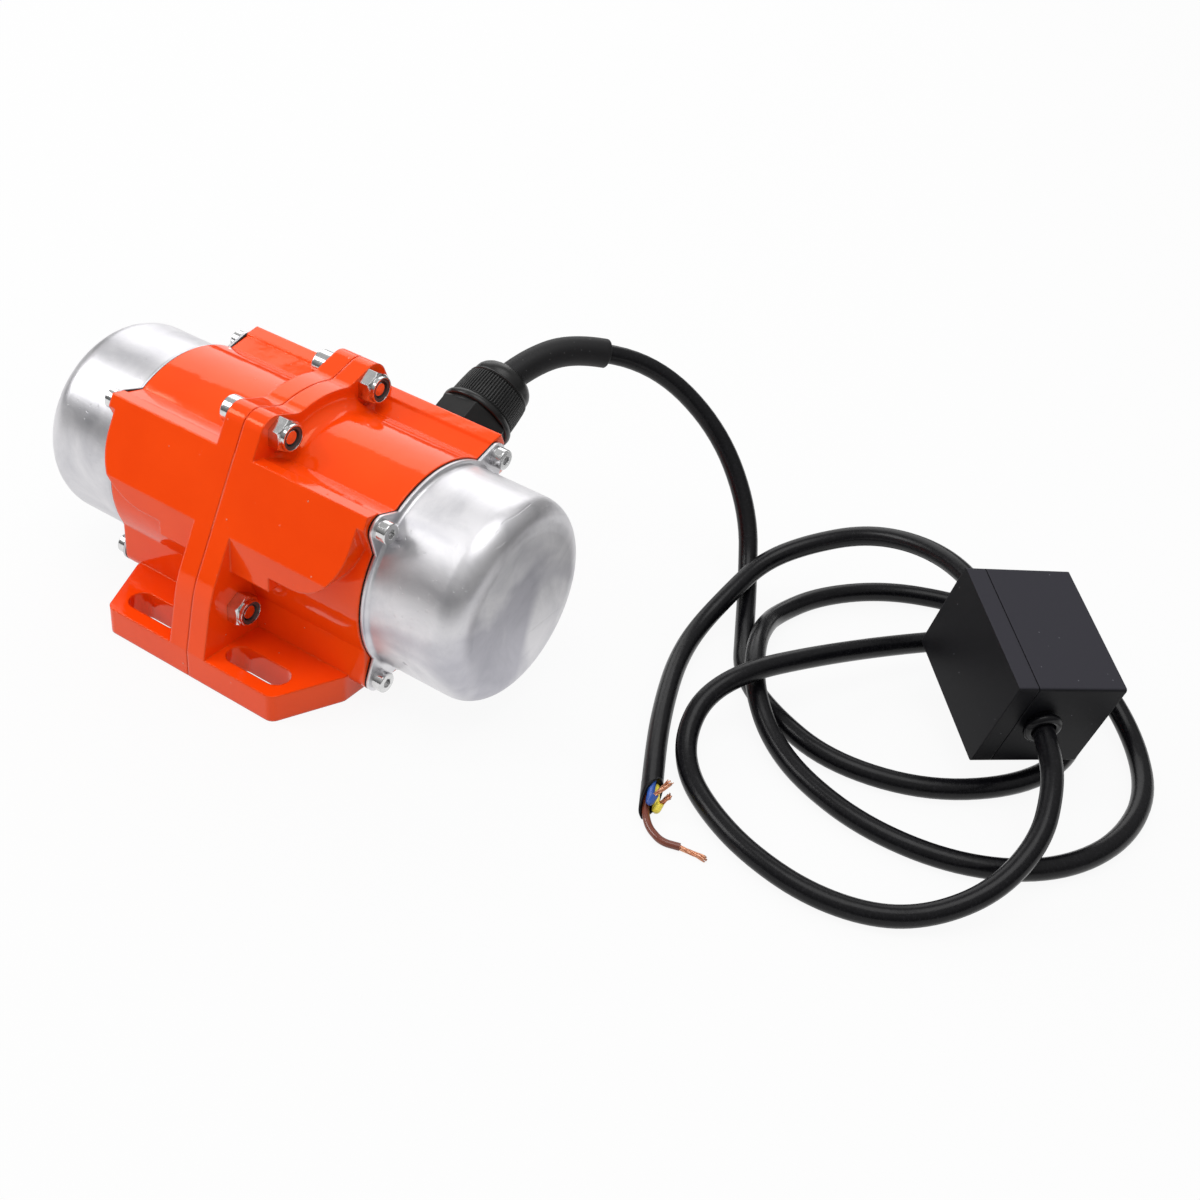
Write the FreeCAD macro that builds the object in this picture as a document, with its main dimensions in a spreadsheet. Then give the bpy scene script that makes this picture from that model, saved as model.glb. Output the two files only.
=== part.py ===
import FreeCAD, Part
import math
import os
from types import SimpleNamespace

import Sketcher
from FreeCAD import Placement, Rotation, Vector

# Vibration motor with its cord and its capacitor box, in millimetres.
# The shaft lies along X, the cord leaves towards +Y, and the foot stands on Z = 0.
# The origin is the middle of the foot's lower face, on the plane where the half shells meet.

doc = FreeCAD.newDocument("VibrationMotor")

# ---- Driving dimensions -------------------------------------------------------------------

DIMENSIONS = [
    # cast half shells
    ("axis_height", 39.2, "shaft axis above the foot's lower face"),
    ("shell_length", 53.4, "half shell, from the split plane to its end face"),
    ("barrel_radius", 36.9, "outside of the cast barrel"),
    ("bore_radius", 31.5, "bore that holds the stator"),
    ("wall_start", 31, "bearing wall, stator side"),
    ("wall_bore", 14, "shaft passage in the bearing wall"),
    ("chamber_radius", 33, "inside of the weight chamber"),
    ("chamber_start", 37.5, "weight chamber's floor"),
    ("boss_radius", 21.5, "bearing boss inside the weight chamber"),
    ("flange_thick", 7.5, "joint flange, each half"),
    ("foot_half_width", 57.5, "foot's front edge from the middle"),
    ("foot_thick", 10, "foot plate"),
    ("foot_half_length", 36, "foot at its front edge, from the split plane"),
    ("foot_root_length", 46.5, "foot beside the barrel, from the split plane"),
    ("foot_root_width", 34.5, "half width at which the foot is longest"),
    ("foot_corner", 3.5, "rounding of the foot's free corners"),
    ("waist_width", 53.1, "flange outline, waist corner from the middle"),
    ("waist_drop", 6.9, "flange outline, waist corner below the axis"),
    ("waist_radius", 40, "flange outline, rounding of the waist"),
    ("lobe_width", 26.6, "flange outline, bolt lobe's corner from the middle"),
    ("lobe_rise", 47.4, "flange outline, bolt lobe's corner above the axis"),
    ("lobe_radius", 6.5, "rounding of the bolt lobe"),
    ("dip_width", 11.6, "flange outline, dip beside the crown"),
    ("dip_rise", 42.3, "flange outline, dip above the axis"),
    ("dip_radius", 5, "rounding of the dip"),
    ("crown_rise", 44.9, "flange outline, crown's corner above the axis"),
    ("crown_radius", 40, "rounding of the crown"),
    ("pad_distance", 44.7, "side pad's plane from the shaft axis"),
    ("pad_angle", 26, "side pad's normal above the horizontal, degrees"),
    ("pad_length", 50.8, "side pad, from the split plane"),
    ("pad_top", 16.3, "side pad's upper edge, up its own plane"),
    ("pad_bend", 9, "side pad's bend to the upright, down its own plane"),
    ("pad_bottom", 3.7, "side pad's lower edge above the axis"),
    ("pad_round", 20, "rounding of the side pad's free lower corner"),
    ("pad_tab_end", 23.5, "side pad's lower tab, from the split plane"),
    ("pad_tab_drop", 1.5, "side pad's lower tab below the axis"),
    ("ridge_low", 11.9, "upper screw ridge's outer edge, up the pad's plane"),
    ("ridge_step_out", 28.2, "outer side of the step along the upper screw ridge, from the middle"),
    ("ridge_step_in", 27.5, "inner side of the step along the upper screw ridge, from the middle"),
    ("ridge_step", 0.9, "step along the upper screw ridge"),
    ("blend", 5, "hollow rounding between the flange and the barrel's crown"),
    ("nut_room", 6.8, "radius of the room cast round an upper flange bolt"),
    ("seam_depth", 0.8, "groove along the edge of the joint, inwards"),
    ("seam_half", 0.15, "groove along the edge of the joint, each half shell"),
    ("ear_near", 19.9, "foot of an ear's flank, short coordinate"),
    ("ear_far", 30.6, "foot of an ear's flank, long coordinate"),
    ("ear_corner", 35.45, "corner of an ear before rounding, along Y and along Z"),
    ("ear_radius", 4.5, "rounding of an ear"),
    ("keel_face", 33.1, "outer faces of the lower screw ridges from the axis"),
    ("keel_edge", 16.3, "inner edges of the lower screw ridges from the axis"),
    # slots for the mounting bolts
    ("slot_x", 22, "slot centre from the split plane"),
    ("slot_y", 48, "slot centre from the middle"),
    ("slot_length", 25, "slot, end to end"),
    ("slot_width", 9, "slot width"),
    # flange fasteners, metric 6
    ("upper_bolt_y", 21, "upper flange bolts from the middle"),
    ("upper_bolt_rise", 39.6, "upper flange bolts above the axis"),
    ("lower_bolt_y", 41.5, "lower flange bolts from the middle"),
    ("lower_bolt_drop", 16.3, "lower flange bolts below the axis"),
    ("bolt_radius", 3, "shank of a flange bolt"),
    ("bolt_length", 20, "flange bolt under its head"),
    ("bolt_head", 5, "radius of a flange bolt's head"),
    ("bolt_head_height", 6, "head of a flange bolt"),
    ("bolt_key", 5, "hexagon socket of a flange bolt, across flats"),
    ("bolt_clearance", 0.3, "room round a flange bolt in its hole"),
    ("nut_flats", 10, "lock nut, across flats"),
    ("nut_hexagon", 4.2, "height of a lock nut's hexagon"),
    ("nut_height", 5.8, "lock nut with its collar"),
    ("nut_collar", 4.5, "radius of a lock nut's collar"),
    ("insert_height", 1.8, "nylon insert in a lock nut"),
    ("insert_radius", 4, "nylon insert, outside"),
    # end covers and their screws, metric 4
    ("gasket_thick", 0.6, "gasket between shell and end cover"),
    ("cover_sheet", 1, "end cover's sheet"),
    ("cover_radius", 35, "end cover's cup, outside"),
    ("cover_rim", 36.5, "end cover's rim"),
    ("cover_end", 89.3, "end cover's flat end from the split plane"),
    ("cover_corner", 9, "end cover's rolled corner"),
    ("cover_crease", 1.2, "crease between the cup and its rim"),
    ("screw_reach", 28.64, "cover screws from the axis, along Y and along Z"),
    ("screw_radius", 2, "shank of a cover screw"),
    ("screw_length", 12, "cover screw under its head"),
    ("screw_head", 3.5, "radius of a cover screw's head"),
    ("screw_head_height", 4, "head of a cover screw"),
    ("screw_key", 3, "hexagon socket of a cover screw, across flats"),
    # stator and rotor
    ("stack_half", 20, "half length of both lamination stacks"),
    ("stator_inner", 20.3, "stator bore"),
    ("stator_slots", 12, "number of winding slots"),
    ("slot_pitch", 26, "pitch radius of the winding slots"),
    ("slot_bar", 2.6, "radius of the copper in a slot"),
    ("winding_inner", 22, "end winding, inside"),
    ("winding_outer", 30, "end winding, outside"),
    ("winding_end", 29, "reach of the end windings from the split plane"),
    ("rotor_radius", 19.8, "rotor outside"),
    ("cage_inner", 13, "rotor's end ring, inside"),
    ("cage_outer", 19, "rotor's end ring, outside"),
    ("cage_end", 25, "reach of the rotor's end rings from the split plane"),
    ("shaft_middle", 9, "shaft in the rotor stack"),
    ("shaft_bearing", 7.5, "shaft in the bearings"),
    ("shaft_outer", 6, "shaft under the weights"),
    ("shaft_end", 83, "shaft's end from the split plane"),
    # deep groove ball bearings
    ("bearing_start", 34, "bearing's inner side from the split plane"),
    ("bearing_width", 11, "bearing width"),
    ("bearing_outer", 17.5, "bearing outside"),
    ("bearing_pitch", 12.5, "pitch radius of the balls"),
    ("ball_radius", 3, "ball"),
    ("race_radius", 3.08, "groove that a ball rolls in"),
    ("race_gap", 2.2, "from the pitch circle to either ring's land"),
    ("ball_count", 8, "balls in a bearing"),
    # eccentric weights
    ("weight_thick", 13, "one eccentric weight"),
    ("inner_weight_x", 49, "inner weight from the split plane"),
    ("outer_weight_x", 63.5, "outer weight from the split plane"),
    ("weight_radius", 28, "outside of a weight's half disc"),
    ("weight_shoulder", 4, "top of a weight's half disc below the axis"),
    ("hub_radius", 12, "clamp hub of a weight"),
    ("hub_slit", 1.5, "slit of a clamp hub"),
    ("clamp_rise", 9, "clamp screw above the shaft axis"),
    ("clamp_radius", 1.8, "clamp screw"),
    ("clamp_length", 13, "clamp screw under its head"),
    ("clamp_head", 2.6, "radius of a clamp screw's head"),
    ("clamp_head_height", 2.5, "head of a clamp screw"),
    ("running_gap", 0.05, "room between the shaft and an outer weight, all round"),
    ("key_width", 4, "key in the shaft"),
    ("key_depth", 2, "key's depth in the shaft, and in the weight"),
    ("circlip_x", 79.5, "circlip groove from the split plane"),
    ("circlip_thick", 1, "circlip"),
    ("circlip_radius", 8.5, "circlip outside"),
    ("circlip_groove", 5.5, "shaft in the circlip groove"),
    # cable gland, its axis square to the rear pad
    ("gland_x", 30, "gland axis from the split plane"),
    ("gland_foot", 35.5, "inner end of the gland's stub from the shaft axis"),
    ("gland_stub", 9.9, "radius of the gland's stub"),
    ("gland_flats", 24, "gland body, across flats"),
    ("gland_hexagon", 56.6, "top of the gland's hexagon from the shaft axis"),
    ("gland_bore", 5.2, "radius of the passage in the gland body"),
    ("ring_thick", 1.2, "O-ring under the gland"),
    ("ring_radius", 12, "O-ring outside"),
    ("nut_skirt", 12.9, "gland nut's lower rim"),
    ("nut_skirt_top", 58.4, "top of the gland nut's lower rim from the shaft axis"),
    ("nut_grip", 12.2, "gland nut at the foot of its ribs"),
    ("nut_grip_end", 11.4, "gland nut at the top of its ribs"),
    ("nut_grip_top", 67.6, "top of the gland nut's ribs from the shaft axis"),
    ("nut_top", 75, "gland nut's mouth from the shaft axis"),
    ("nut_mouth", 6.3, "radius of the gland nut's mouth"),
    ("rib_count", 56, "ribs on the gland nut"),
    ("rib_width", 0.65, "one rib"),
    ("rib_height", 0.55, "one rib"),
    ("seal_top", 70.5, "where the cord enters the seal, from the shaft axis"),
    # cord and box
    ("cord_radius", 3.5, "cord"),
    ("sleeve_radius", 5.2, "rubber sleeve over the cord"),
    ("box_length", 50, "capacitor box along its cord"),
    ("box_width", 38, "capacitor box across its lid"),
    ("box_height", 36.8, "capacitor box"),
    ("box_wall", 2, "capacitor box wall"),
    ("lid_depth", 7.2, "capacitor box lid"),
    ("lid_lip", 2.5, "lid's lip inside the base"),
    ("lid_seam", 0.3, "open seam between the lid and the base"),
    ("box_corner", 1, "rounding of the box's long edges"),
    ("box_x", 222.3, "middle of the box"),
    ("box_y", 90.5, "middle of the box"),
    ("box_z", 32.3, "middle of the box"),
    ("box_yaw", 135.8, "box turned about Z, degrees"),
    ("box_pitch", -12.1, "box tipped end over end, degrees"),
    ("box_roll", 6, "box tipped sideways, degrees"),
    ("outlet_side", 4.05, "cord outlets from the box's middle, towards the lid"),
    ("outlet_rise", 2.5, "cord outlets above the box's middle"),
    ("bush_collar", 6, "collar of a cord bush"),
    ("bush_neck", 4.4, "neck of a cord bush"),
    ("bush_proud", 2, "collar's reach outside the box"),
    ("capacitor_radius", 14.5, "run capacitor"),
    ("capacitor_length", 42, "run capacitor"),
    ("wire_radius", 1.2, "insulated wire"),
    ("copper_radius", 0.75, "stranded copper of one wire"),
]

sheet = doc.addObject("Spreadsheet::Sheet", "Dims")
for row, (alias, amount, note) in enumerate(DIMENSIONS, start=1):
    sheet.set(f"A{row}", note)
    sheet.set(f"B{row}", str(amount))
    sheet.setAlias(f"B{row}", alias)
doc.recompute()


class Size:
    """A length, angle or count: the formula over the sheet, and its present value."""

    def __init__(self, text, amount):
        self.text = text
        self.amount = amount

    def __add__(self, other):
        return Size(f"({self.text} + {text_of(other)})", self.amount + amount_of(other))

    def __radd__(self, other):
        return self + other

    def __sub__(self, other):
        return Size(f"({self.text} - {text_of(other)})", self.amount - amount_of(other))

    def __rsub__(self, other):
        return Size(f"({text_of(other)} - {self.text})", amount_of(other) - self.amount)

    def __mul__(self, other):
        return Size(f"({self.text} * {text_of(other)})", self.amount * amount_of(other))

    def __rmul__(self, other):
        return self * other

    def __truediv__(self, other):
        return Size(f"({self.text} / {text_of(other)})", self.amount / amount_of(other))

    def __neg__(self):
        return Size(f"(0 - {self.text})", -self.amount)


def text_of(size):
    return size.text if isinstance(size, Size) else f"{size:g}"


def amount_of(size):
    return size.amount if isinstance(size, Size) else float(size)


def cosine(angle):
    return Size(f"cos({text_of(angle)})", math.cos(math.radians(amount_of(angle))))


def sine(angle):
    return Size(f"sin({text_of(angle)})", math.sin(math.radians(amount_of(angle))))


d = SimpleNamespace(**{row[0]: Size(f"Dims.{row[0]}", float(sheet.get(row[0]))) for row in DIMENSIONS})


def bind(thing, **sizes):
    """Ties properties of a document object to sizes; a double underscore stands for a dot."""
    for name, size in sizes.items():
        thing.setExpression(name.replace("__", "."), text_of(size))
    return thing


# ---- Bodies, sketches and features --------------------------------------------------------

nodes = []


def sub_part(thing, label):
    """Names a finished document object as one sub-part of the assembly."""
    thing.Label = label
    nodes.append(thing)
    return thing


def new_body(name, turn=Rotation(), **place):
    """A body at the shaft's height, unless place gives another position for its origin."""
    body = doc.addObject("PartDesign::Body", name)
    body.Placement = Placement(Vector(), turn)
    spot = {"x": 0, "y": 0, "z": d.axis_height, **place}
    return bind(body, **{f"Placement__Base__{axis}": size for axis, size in spot.items()})


def origin_feature(body, role):
    return next(item for item in body.Origin.OriginFeatures if item.Role == role)


def new_sketch(body, name, plane="YZ", shift=0):
    """A sketch on one of the body's origin planes, moved along the plane's normal."""
    sketch = body.newObject("Sketcher::SketchObject", f"{body.Name}_{name}")
    sketch.AttachmentSupport = [(origin_feature(body, f"{plane}_Plane"), "")]
    sketch.MapMode = "FlatFace"
    return bind(sketch, AttachmentOffset__Base__z=shift)


def locate(sketch, item, point, place):
    """Fixes one point of a sketch at its two coordinates; a plain 0 puts it on the axis."""
    for kind, axis, size in (("DistanceX", -2, place[0]), ("DistanceY", -1, place[1])):
        if not isinstance(size, Size) and size == 0:
            sketch.addConstraint(Sketcher.Constraint("PointOnObject", item, point, axis))
            continue
        index = sketch.addConstraint(Sketcher.Constraint(kind, -1, 1, item, point, amount_of(size)))
        sketch.setExpression(f"Constraints[{index}]", text_of(size))


def fix_radius(sketch, item, radius):
    index = sketch.addConstraint(Sketcher.Constraint("Radius", item, amount_of(radius)))
    sketch.setExpression(f"Constraints[{index}]", text_of(radius))


def circle(sketch, radius, centre=(0, 0)):
    middle = Vector(amount_of(centre[0]), amount_of(centre[1]), 0)
    item = sketch.addGeometry(Part.Circle(middle, Vector(0, 0, 1), amount_of(radius)), False)
    locate(sketch, item, 3, centre)
    fix_radius(sketch, item, radius)


def polygon(sketch, corners):
    """A closed outline through corners (u, v) or (u, v, radius), the last kind rounded."""
    spots = [Vector(amount_of(corner[0]), amount_of(corner[1]), 0) for corner in corners]
    count = len(corners)
    ends = []
    for index, corner in enumerate(corners):
        spot = spots[index]
        if len(corner) == 2:
            ends.append((spot, spot, None))
            continue
        back = (spots[index - 1] - spot).normalize()
        ahead = (spots[(index + 1) % count] - spot).normalize()
        half = back.getAngle(ahead) / 2
        radius = amount_of(corner[2])
        reach = radius / math.tan(half)
        centre = spot + (back + ahead).normalize() * (radius / math.sin(half))
        ends.append((spot + back * reach, spot + ahead * reach, centre))
    lines = []
    for index in range(count):
        start = ends[index][1]
        stop = ends[(index + 1) % count][0]
        lines.append(sketch.addGeometry(Part.LineSegment(start, stop), False))
    for index, corner in enumerate(corners):
        before, after = lines[index - 1], lines[index]
        if len(corner) == 2:
            sketch.addConstraint(Sketcher.Constraint("Coincident", before, 2, after, 1))
            locate(sketch, after, 1, corner)
            continue
        first, second, centre = ends[index]
        left_turn = (spots[index] - first).cross(second - spots[index]).z > 0
        begin, finish = (first, second) if left_turn else (second, first)
        angles = [math.atan2(point.y - centre.y, point.x - centre.x) for point in (begin, finish)]
        ring = Part.Circle(centre, Vector(0, 0, 1), amount_of(corner[2]))
        arc = sketch.addGeometry(Part.ArcOfCircle(ring, angles[0], angles[1]), False)
        near, far = (1, 2) if left_turn else (2, 1)
        sketch.addConstraint(Sketcher.Constraint("Tangent", before, 2, arc, near))
        sketch.addConstraint(Sketcher.Constraint("Tangent", arc, far, after, 1))
        fix_radius(sketch, arc, corner[2])
        tip = sketch.addGeometry(Part.Point(spots[index]), True)
        locate(sketch, tip, 1, corner)
        sketch.addConstraint(Sketcher.Constraint("PointOnObject", tip, 1, before))
        sketch.addConstraint(Sketcher.Constraint("PointOnObject", tip, 1, after))


def rectangle(sketch, low, high):
    polygon(sketch, [low, (high[0], low[1]), high, (low[0], high[1])])


def hexagon(sketch, flats):
    """A hexagon round the sketch's origin, with two flats across the first axis."""
    half = flats / 2
    side = half * sine(30) / cosine(30)
    point = half / cosine(30)
    polygon(sketch, [(half, -side), (half, side), (0, point), (-half, side), (-half, -side), (0, -point)])


def rounded_slot(sketch, centre, length, width):
    """A slot along the sketch's first axis with round ends."""
    radius = width / 2
    reach = (length - width) / 2
    left = (centre[0] - reach, centre[1])
    right = (centre[0] + reach, centre[1])
    r, u0, u1, v = (amount_of(size) for size in (radius, left[0], right[0], centre[1]))
    up = Vector(0, 0, 1)
    arcs = []
    for u, start, stop in ((u0, math.pi / 2, -math.pi / 2), (u1, -math.pi / 2, math.pi / 2)):
        ring = Part.Circle(Vector(u, v, 0), up, r)
        arcs.append(sketch.addGeometry(Part.ArcOfCircle(ring, start, stop), False))
    low = sketch.addGeometry(Part.LineSegment(Vector(u0, v - r, 0), Vector(u1, v - r, 0)), False)
    high = sketch.addGeometry(Part.LineSegment(Vector(u1, v + r, 0), Vector(u0, v + r, 0)), False)
    corners = ((arcs[0], 2, low, 1), (low, 2, arcs[1], 1), (arcs[1], 2, high, 1), (high, 2, arcs[0], 1))
    for corner in corners:
        sketch.addConstraint(Sketcher.Constraint("Tangent", *corner))
    sketch.addConstraint(Sketcher.Constraint("Equal", arcs[0], arcs[1]))
    fix_radius(sketch, arcs[0], radius)
    locate(sketch, arcs[0], 3, left)
    locate(sketch, arcs[1], 3, right)


def build_feature(body, kind, sketch, reverse=False, both_ways=False, **sizes):
    """Adds a sketch-based feature and makes sure that it added or removed material."""
    doc.recompute()
    base = body.Tip.Shape.Volume if body.Tip else 0
    feature = body.newObject(f"PartDesign::{kind}", f"{sketch.Name}_{kind}")
    feature.Profile = sketch
    feature.Reversed = reverse
    if both_ways:
        feature.Midplane = True
    if kind in ("Revolution", "Groove"):
        feature.ReferenceAxis = (origin_feature(body, sizes.pop("about") + "_Axis"), [""])
        feature.Angle = sizes.pop("turn", 360)
    bind(feature, **sizes)
    doc.recompute()
    change = feature.Shape.Volume - base
    removes = kind in ("Pocket", "Groove")
    if (change > -0.01) if removes else (change < 0.01):
        raise RuntimeError(f"{feature.Name} changes nothing: {change:.3f}")
    return feature


def pad(body, sketch, length, **options):
    return build_feature(body, "Pad", sketch, Length=length, **options)


def pocket(body, sketch, depth, **options):
    return build_feature(body, "Pocket", sketch, Length=depth, **options)


def revolve(body, sketch, about="X", **options):
    return build_feature(body, "Revolution", sketch, about=about, **options)


def groove(body, sketch, about="X"):
    return build_feature(body, "Groove", sketch, about=about)


def mirror(body, features, plane="XZ"):
    """Repeats features of a body on the other side of one of its origin planes."""
    copy = body.newObject("PartDesign::Mirrored", f"{body.Name}_Mirror{len(body.Group)}")
    copy.Originals = features
    copy.MirrorPlane = (origin_feature(body, f"{plane}_Plane"), [""])
    body.Tip = copy
    doc.recompute()
    return copy


def repeat_round(body, features, count, about="X"):
    """Repeats features of a body evenly round one of its origin axes."""
    ring = body.newObject("PartDesign::PolarPattern", f"{body.Name}_Ring{len(body.Group)}")
    ring.Originals = features
    ring.Axis = (origin_feature(body, f"{about}_Axis"), [""])
    ring.Angle = 360
    bind(ring, Occurrences=count)
    body.Tip = ring
    doc.recompute()
    return ring


# ---- Solids that stand along the shaft, and copies in other places ------------------------

TO_X = Rotation(Vector(0, 1, 0), 90)


def primitive(kind, name, turn=Rotation(), x=0, y=0, z=d.axis_height, **sizes):
    """A Part primitive with its place and its sizes bound to the sheet."""
    solid = doc.addObject(f"Part::{kind}", name)
    solid.Placement = Placement(Vector(), turn)
    bind(solid, Placement__Base__x=x, Placement__Base__y=y, Placement__Base__z=z)
    return bind(solid, **sizes)


def boolean(kind, name, base, tool):
    result = doc.addObject(f"Part::{kind}", name)
    result.Base = base
    result.Tool = tool
    return result


def tube_along_x(name, start, length, outer, inner):
    """A ring or tube round the shaft axis."""
    body = primitive("Cylinder", name + "_body", TO_X, x=start, Radius=outer, Height=length)
    hole = primitive("Cylinder", name + "_hole", TO_X, x=start - 1, Radius=inner, Height=length + 2)
    return boolean("Cut", name, body, hole)


def together(name, pieces):
    group = doc.addObject("Part::Compound", name)
    group.Links = pieces
    return group


def reflection(source, normal, name):
    """A mirrored copy in a plane through the origin, or through the shaft when that is level."""
    copy = doc.addObject("Part::Mirroring", name)
    copy.Source = source
    copy.Normal = normal
    if normal.z:
        bind(copy, Base__z=d.axis_height)
    return copy


def both_sides(source, name):
    """A piece and its mirrored copy on the other side of the shaft, as two solids."""
    return together(name, [source, reflection(source, Vector(0, 1, 0), name + "_other")])


def both_ends(source, name):
    """A piece and its mirrored copy at the motor's other end, as two solids."""
    return together(name, [source, reflection(source, Vector(1, 0, 0), name + "_other")])


def for_each_end(make, label):
    """Makes a piece for the right end, and its mirrored copy for the left end."""
    right = sub_part(make("right_" + label), "right_" + label)
    sub_part(reflection(right, Vector(1, 0, 0), "left_" + label), "left_" + label)


# ---- Cast half shells ---------------------------------------------------------------------

pad_cos = cosine(d.pad_angle)
pad_sin = sine(d.pad_angle)


def on_pad_plane(rise):
    """A point of the side pad's plane, rise measured up the plane from its foot point."""
    return (d.pad_distance * pad_cos - rise * pad_sin, d.pad_distance * pad_sin + rise * pad_cos)


def flange_outline(sketch, inset=0):
    side = [
        (d.foot_half_width - inset, inset - d.axis_height),
        (d.foot_half_width - inset, d.foot_thick - d.axis_height),
        (d.waist_width - inset, -d.waist_drop, d.waist_radius),
        (d.lobe_width - inset, d.lobe_rise - inset, d.lobe_radius - inset),
        (d.dip_width, d.dip_rise - inset, d.dip_radius + inset),
    ]
    crown = [(0, d.crown_rise - inset, d.crown_radius)]
    other = [(-corner[0], *corner[1:]) for corner in reversed(side)]
    polygon(sketch, side + crown + other)


def foot_outline(sketch):
    free = (d.foot_half_length, d.foot_half_width, d.foot_corner)
    root = (d.foot_root_length, d.foot_root_width, d.foot_corner)
    polygon(sketch, [
        (0, -d.foot_half_width),
        (free[0], -free[1], free[2]),
        (root[0], -root[1], root[2]),
        root,
        free,
        (0, d.foot_half_width),
    ])


def on_pad(body, name):
    """A sketch on the rear side pad's plane: first axis along the shaft, second up the slope."""
    sketch = new_sketch(body, name, "XY")
    sketch.AttachmentOffset = Placement(Vector(), Rotation(Vector(1, 0, 0), 90 + d.pad_angle.amount))
    base = {"y": d.pad_distance * pad_cos, "z": d.pad_distance * pad_sin}
    bind(sketch, AttachmentOffset__Rotation__Angle=90 + d.pad_angle)
    return bind(sketch, **{f"AttachmentOffset__Base__{axis}": size for axis, size in base.items()})


def side_pad(body):
    """The flank's flat pad: its plane bends upright and ends in an edge with a low tab beside the flange."""
    outward, height = on_pad_plane(-d.pad_bend)
    profile = new_sketch(body, "side_pad")
    polygon(profile, [
        on_pad_plane(d.pad_top),
        (d.ear_near, d.pad_bottom),
        (outward, d.pad_bottom),
        (outward, height),
    ])
    flank = pad(body, profile, d.pad_length)
    corner = new_sketch(body, "pad_corner", "XZ", -d.ear_near)
    beyond = d.pad_length + 1
    polygon(corner, [
        (d.pad_tab_end, d.pad_bottom),
        (d.pad_tab_end, d.pad_bottom - 1),
        (beyond, d.pad_bottom - 1),
        (beyond, d.pad_bottom + d.pad_round + 2),
        (d.pad_length, d.pad_bottom + d.pad_round + 2),
        (d.pad_length, d.pad_bottom, d.pad_round),
    ])
    rounding = pocket(body, corner, outward)
    tab = new_sketch(body, "pad_tab")
    rectangle(tab, (d.ear_near, -d.pad_tab_drop), (outward, d.pad_bottom))
    return [flank, rounding, pad(body, tab, d.pad_tab_end)]


def upper_ridge(body):
    """The ridge behind an upper ear, with a step along its upper face."""
    outward, height = on_pad_plane(d.pad_top)
    sketch = new_sketch(body, "upper_ridge")
    polygon(sketch, [
        (d.ear_far, d.ear_near),
        on_pad_plane(d.ridge_low),
        (outward, height),
        (d.ridge_step_out, height - d.ridge_step),
        (d.ridge_step_in, height - 2 * d.ridge_step),
        (d.ear_near, d.ear_far),
    ])
    return pad(body, sketch, d.shell_length)


def lower_ridge(body):
    sketch = new_sketch(body, "lower_ridge")
    polygon(sketch, [
        (d.keel_edge, -d.keel_face),
        (d.keel_face, -d.keel_face, d.ear_radius),
        (d.keel_face, -d.keel_edge),
    ])
    return pad(body, sketch, d.shell_length)


def crown_blend(body):
    """The hollow rounding where the flange rises from the barrel, between the two ridges."""
    profile = new_sketch(body, "crown_blend", "XZ")
    end = d.flange_thick + d.blend + 1
    top = d.barrel_radius + d.blend + 1
    polygon(profile, [
        (0, d.chamber_radius),
        (end, d.chamber_radius),
        (end, d.barrel_radius),
        (d.flange_thick, d.barrel_radius, d.blend),
        (d.flange_thick, top),
        (0, top),
    ])
    revolve(body, profile, turn=90, both_ways=True)


def seam_groove(body):
    """A fine groove along the outer edge of the joint between the half shells."""
    sketch = new_sketch(body, "seam")
    flange_outline(sketch)
    flange_outline(sketch, d.seam_depth)
    pocket(body, sketch, d.seam_half, reverse=True)


def shell_inside(sketch):
    """Half section of the stator room, the bearing wall and the weight chamber."""
    bearing_end = d.bearing_start + d.bearing_width
    outlet = d.shell_length + 1
    polygon(sketch, [
        (-1, 0),
        (outlet, 0),
        (outlet, d.chamber_radius),
        (d.chamber_start, d.chamber_radius),
        (d.chamber_start, d.boss_radius),
        (bearing_end, d.boss_radius),
        (bearing_end, d.bearing_outer),
        (d.bearing_start, d.bearing_outer),
        (d.bearing_start, d.wall_bore),
        (d.wall_start, d.wall_bore),
        (d.wall_start, d.bore_radius),
        (-1, d.bore_radius),
    ])


def half_shell(name, turn):
    body = new_body(name, turn)
    flange = new_sketch(body, "flange")
    flange_outline(flange)
    pad(body, flange, d.flange_thick)
    crown_blend(body)
    room = new_sketch(body, "nut_room", shift=d.flange_thick)
    circle(room, d.nut_room, (d.upper_bolt_y, d.upper_bolt_rise))
    mirror(body, [*side_pad(body), pocket(body, room, d.blend, reverse=True)])
    barrel = new_sketch(body, "barrel")
    circle(barrel, d.barrel_radius)
    pad(body, barrel, d.shell_length)
    foot = new_sketch(body, "foot", "XY", -d.axis_height)
    foot_outline(foot)
    pad(body, foot, d.foot_thick)
    mirror(body, [upper_ridge(body), lower_ridge(body)])
    seam_groove(body)
    inside = new_sketch(body, "inside", "XZ")
    shell_inside(inside)
    groove(body, inside)

    slot = new_sketch(body, "slot", "XY", -d.axis_height)
    rounded_slot(slot, (d.slot_x, d.slot_y), d.slot_length, d.slot_width)
    cuts = [pocket(body, slot, d.foot_thick, reverse=True)]
    bolts = new_sketch(body, "bolts")
    hole = d.bolt_radius + d.bolt_clearance
    circle(bolts, hole, (d.upper_bolt_y, d.upper_bolt_rise))
    circle(bolts, hole, (d.lower_bolt_y, -d.lower_bolt_drop))
    cuts.append(pocket(body, bolts, d.flange_thick, reverse=True))
    screws = new_sketch(body, "screws", shift=d.shell_length)
    circle(screws, d.screw_radius, (d.screw_reach, d.screw_reach))
    circle(screws, d.screw_radius, (d.screw_reach, -d.screw_reach))
    cuts.append(pocket(body, screws, d.screw_length))
    mirror(body, cuts)
    return body


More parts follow.
